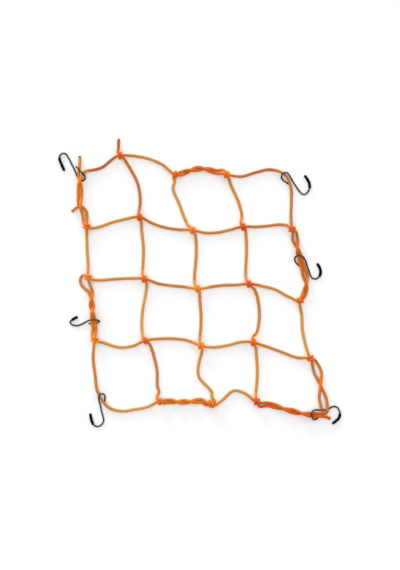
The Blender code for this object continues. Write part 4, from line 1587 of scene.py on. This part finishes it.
@dataclass
class HookSet:
    """The six S-hooks: bent wires with dipped tips."""

    plan: NetPlan
    plating: PlatedFinish
    coating: DippedFinish
    sides: int = 20
    fine_step: float = 0.0002
    ring_step: float = 0.0004
    bend_reach: float = 0.0009
    # How far the wire runs on inside the coating, and how much the plating adds to its radius.
    buried: float = 0.003
    plating_thickness: float = 0.00015
    # The coating's first edge stands a little proud of the wire and swells over this length.
    lip_height: float = 0.0002
    lip: float = 0.0006
    # Noses: the wire's cut end and the coating's drop, as a share of the radius, and their rows.
    cut_depth: float = 0.3
    cut_rows: int = 3
    drop_depth: float = 1.0
    drop_rows: int = 8

    def axes(self, place: str) -> tuple[np.ndarray, np.ndarray]:
        """The lines that a hook is bent along.

        Args:
            place: where the hook hangs.

        Returns:
            The axis of its whole wire, and of the coated stretch at its end.
        """
        gauge = self.plan.gauge
        wire, tip = HOOKS[place], TIPS[place]
        heights = [gauge.wire_z + row.level * (gauge.wire_over_z - gauge.wire_z)
                   for row in wire[:-1]]
        heights += [gauge.tip_r * gauge.level] * (1 + len(tip))
        points = [at_height((row.x, row.y), z) for row, z in zip(wire + tip, heights)]
        rows = respace(smooth(points, self.fine_step), self.fine_step)
        rows = relax(rows, self.fine_step, self.bend_reach)[:, :3]
        start = np.array((wire[-1].x, wire[-1].y)) * UNIT
        cut = int(np.argmin(np.linalg.norm(rows[:, :2] - start, axis=1)))
        into = cut + round(self.buried / self.fine_step)
        return respace(rows[:into], self.ring_step), respace(rows[cut:], self.ring_step)

    def wire(self, place: str, path: np.ndarray) -> bpy.types.Object:
        """Builds a hook's wire.

        Args:
            place: where the hook hangs.
            path: its axis.

        Returns:
            The wire, not yet dressed.
        """
        radii = np.full(len(path), self.plan.gauge.wire_r + self.plating_thickness)
        path, radii = with_nose(path, radii, True, self.cut_depth, self.cut_rows)
        return rolled_tube(f"wire_{place}", path, radii, self.sides)

    def coat(self, place: str, path: np.ndarray) -> bpy.types.Object:
        """Builds the coating on a hook's end.

        Args:
            place: where the hook hangs.
            path: its axis.

        Returns:
            The coating, not yet dressed.
        """
        gauge = self.plan.gauge
        share = np.clip(travelled_along(path) / self.lip, 0.0, 1.0)
        lead = gauge.wire_r + self.lip_height
        radii = lead + (gauge.tip_r - lead) * np.sqrt(1 - (1 - share) ** 2)
        path, radii = with_nose(path, radii, False, self.drop_depth, self.drop_rows)
        return rolled_tube(f"dipped_{place}", path, radii, self.sides)

    def build(self) -> dict[str, bpy.types.Object]:
        """Builds and dresses all the hooks.

        Returns:
            The wires and coatings by the name of the solid that each stands for.
        """
        steel, vinyl = self.plating.material(), self.coating.material()
        pieces = {}
        for place in HOOKS:
            wire_path, tip_path = self.axes(place)
            bare, coat = self.wire(place, wire_path), self.coat(place, tip_path)
            bare.data.materials.append(steel)
            coat.data.materials.append(vinyl)
            pieces |= {"hook_" + place: bare, "tip_" + place: coat}
            LOG.info("%s hook: %.3f m of wire", place, travelled_along(wire_path)[-1])
        return pieces


# Mean height of the sky as a level floor sees it, 1 being straight overhead.
SKY_MEAN = 2 / 3


@dataclass(frozen=True)
class Studio:
    """White floor, soft light and the camera straight above the net."""

    floor_half: float = 6.0
    # The view, in layout units: its height and its middle.
    view_height: float = 570.0
    view_centre: tuple[float, float] = (0.0, 5.0)
    camera_distance: float = 2.4
    sensor: float = 36.0
    key_from: tuple[float, float, float] = (-1.2, 2.7, 0.43)
    key_spread: float = math.radians(24)
    key_strength: float = 2.2
    # The sky: its strength, how much brighter it is beyond the top edge, and overhead.
    sky: float = 1.035
    sky_lean: float = 0.4
    sky_crown: float = 0.6

    def floor(self) -> None:
        """Lays a wide white floor at the surface on which the net lies."""
        work = bmesh.new()
        bmesh.ops.create_grid(work, x_segments=2, y_segments=2, size=self.floor_half)
        mesh = bpy.data.meshes.new("floor")
        work.to_mesh(mesh)
        work.free()
        mesh.materials.append(FloorFinish().material())
        floor = bpy.data.objects.new("floor", mesh)
        bpy.context.scene.collection.objects.link(floor)
        floor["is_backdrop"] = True

    def light_sky(self) -> None:
        """Sets up a white sky, brighter overhead and beyond the top edge.

        The camera sees it plain white.  The lean and the crown leave the floor's brightness as
        it is, because the crown is evened out by its mean.
        """
        world = bpy.data.worlds.new("white_room")
        world.use_nodes = True
        painter = Painter(world.node_tree)
        towards = painter.node("SeparateXYZ", Vector=painter.node("TexCoord").outputs["Generated"])
        level = painter.maths("MULTIPLY_ADD", towards.outputs["Z"], self.sky * self.sky_crown,
                              self.sky * (1.0 - self.sky_crown * SKY_MEAN))
        leaning = painter.maths("MULTIPLY_ADD", towards.outputs["Y"], self.sky * self.sky_lean,
                                level)
        seen = painter.node("LightPath").outputs["Is Camera Ray"]
        background = world.node_tree.nodes["Background"]
        background.inputs["Color"].default_value = (1.0, 1.0, 1.0, 1.0)
        painter.link(painter.blend_values(seen, leaning, 1.0), background.inputs["Strength"])
        bpy.context.scene.world = world

    def light_key(self) -> None:
        """Hangs a low soft key light beyond the top edge."""
        lamp = bpy.data.lights.new("soft_key", "SUN")
        lamp.angle = self.key_spread
        lamp.energy = self.key_strength
        key = bpy.data.objects.new("soft_key", lamp)
        key.location = self.key_from
        key.rotation_euler = (-Vector(self.key_from)).to_track_quat("-Z", "Y").to_euler()
        bpy.context.scene.collection.objects.link(key)

    def camera(self, shift: Vector) -> None:
        """Places the camera straight above the middle of the view.

        Args:
            shift: where the layout's own origin stands.
        """
        lens = bpy.data.cameras.new("overhead")
        lens.sensor_width = self.sensor
        lens.lens = self.sensor * self.camera_distance / (self.view_height * UNIT)
        camera = bpy.data.objects.new("overhead", lens)
        middle = Vector((self.view_centre[0] * UNIT, self.view_centre[1] * UNIT, 0.0)) + shift
        camera.location = middle + Vector((0.0, 0.0, self.camera_distance))
        bpy.context.scene.collection.objects.link(camera)
        bpy.context.scene.camera = camera


def stand_over_frame(pieces: list[bpy.types.Object], low: Vector, high: Vector) -> Vector:
    """Moves the meshes so that their common box stands where the frame's box is.

    Args:
        pieces: all the pieces, in layout coordinates.
        low: lowest corner of the frame.
        high: highest corner of the frame.

    Returns:
        The distance moved, in metres.
    """
    corners = np.array([corner for piece in pieces for corner in piece.bound_box])
    middle = (corners.min(axis=0) + corners.max(axis=0)) / 2
    shift = Vector(((low.x + high.x) / 2 - middle[0], (low.y + high.y) / 2 - middle[1], low.z))
    for piece in pieces:
        piece.data.transform(Matrix.Translation(shift))
    return shift


def main() -> None:
    """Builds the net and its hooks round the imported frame, and sets up the studio."""
    logging.basicConfig(level=logging.INFO, format="%(message)s")
    low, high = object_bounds()
    plan = NetPlan()
    pieces = ElasticNet(plan, BraidedFinish()).build()
    pieces |= HookSet(plan, PlatedFinish(), DippedFinish()).build()
    shift = stand_over_frame(list(pieces.values()), low, high)
    for node, piece in pieces.items():
        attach(piece, "root")
        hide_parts(node)
    studio = Studio()
    studio.floor()
    studio.light_sky()
    studio.light_key()
    studio.camera(shift)
    bpy.context.scene.view_settings.view_transform = "Standard"


if __name__ == "__main__":
    main()
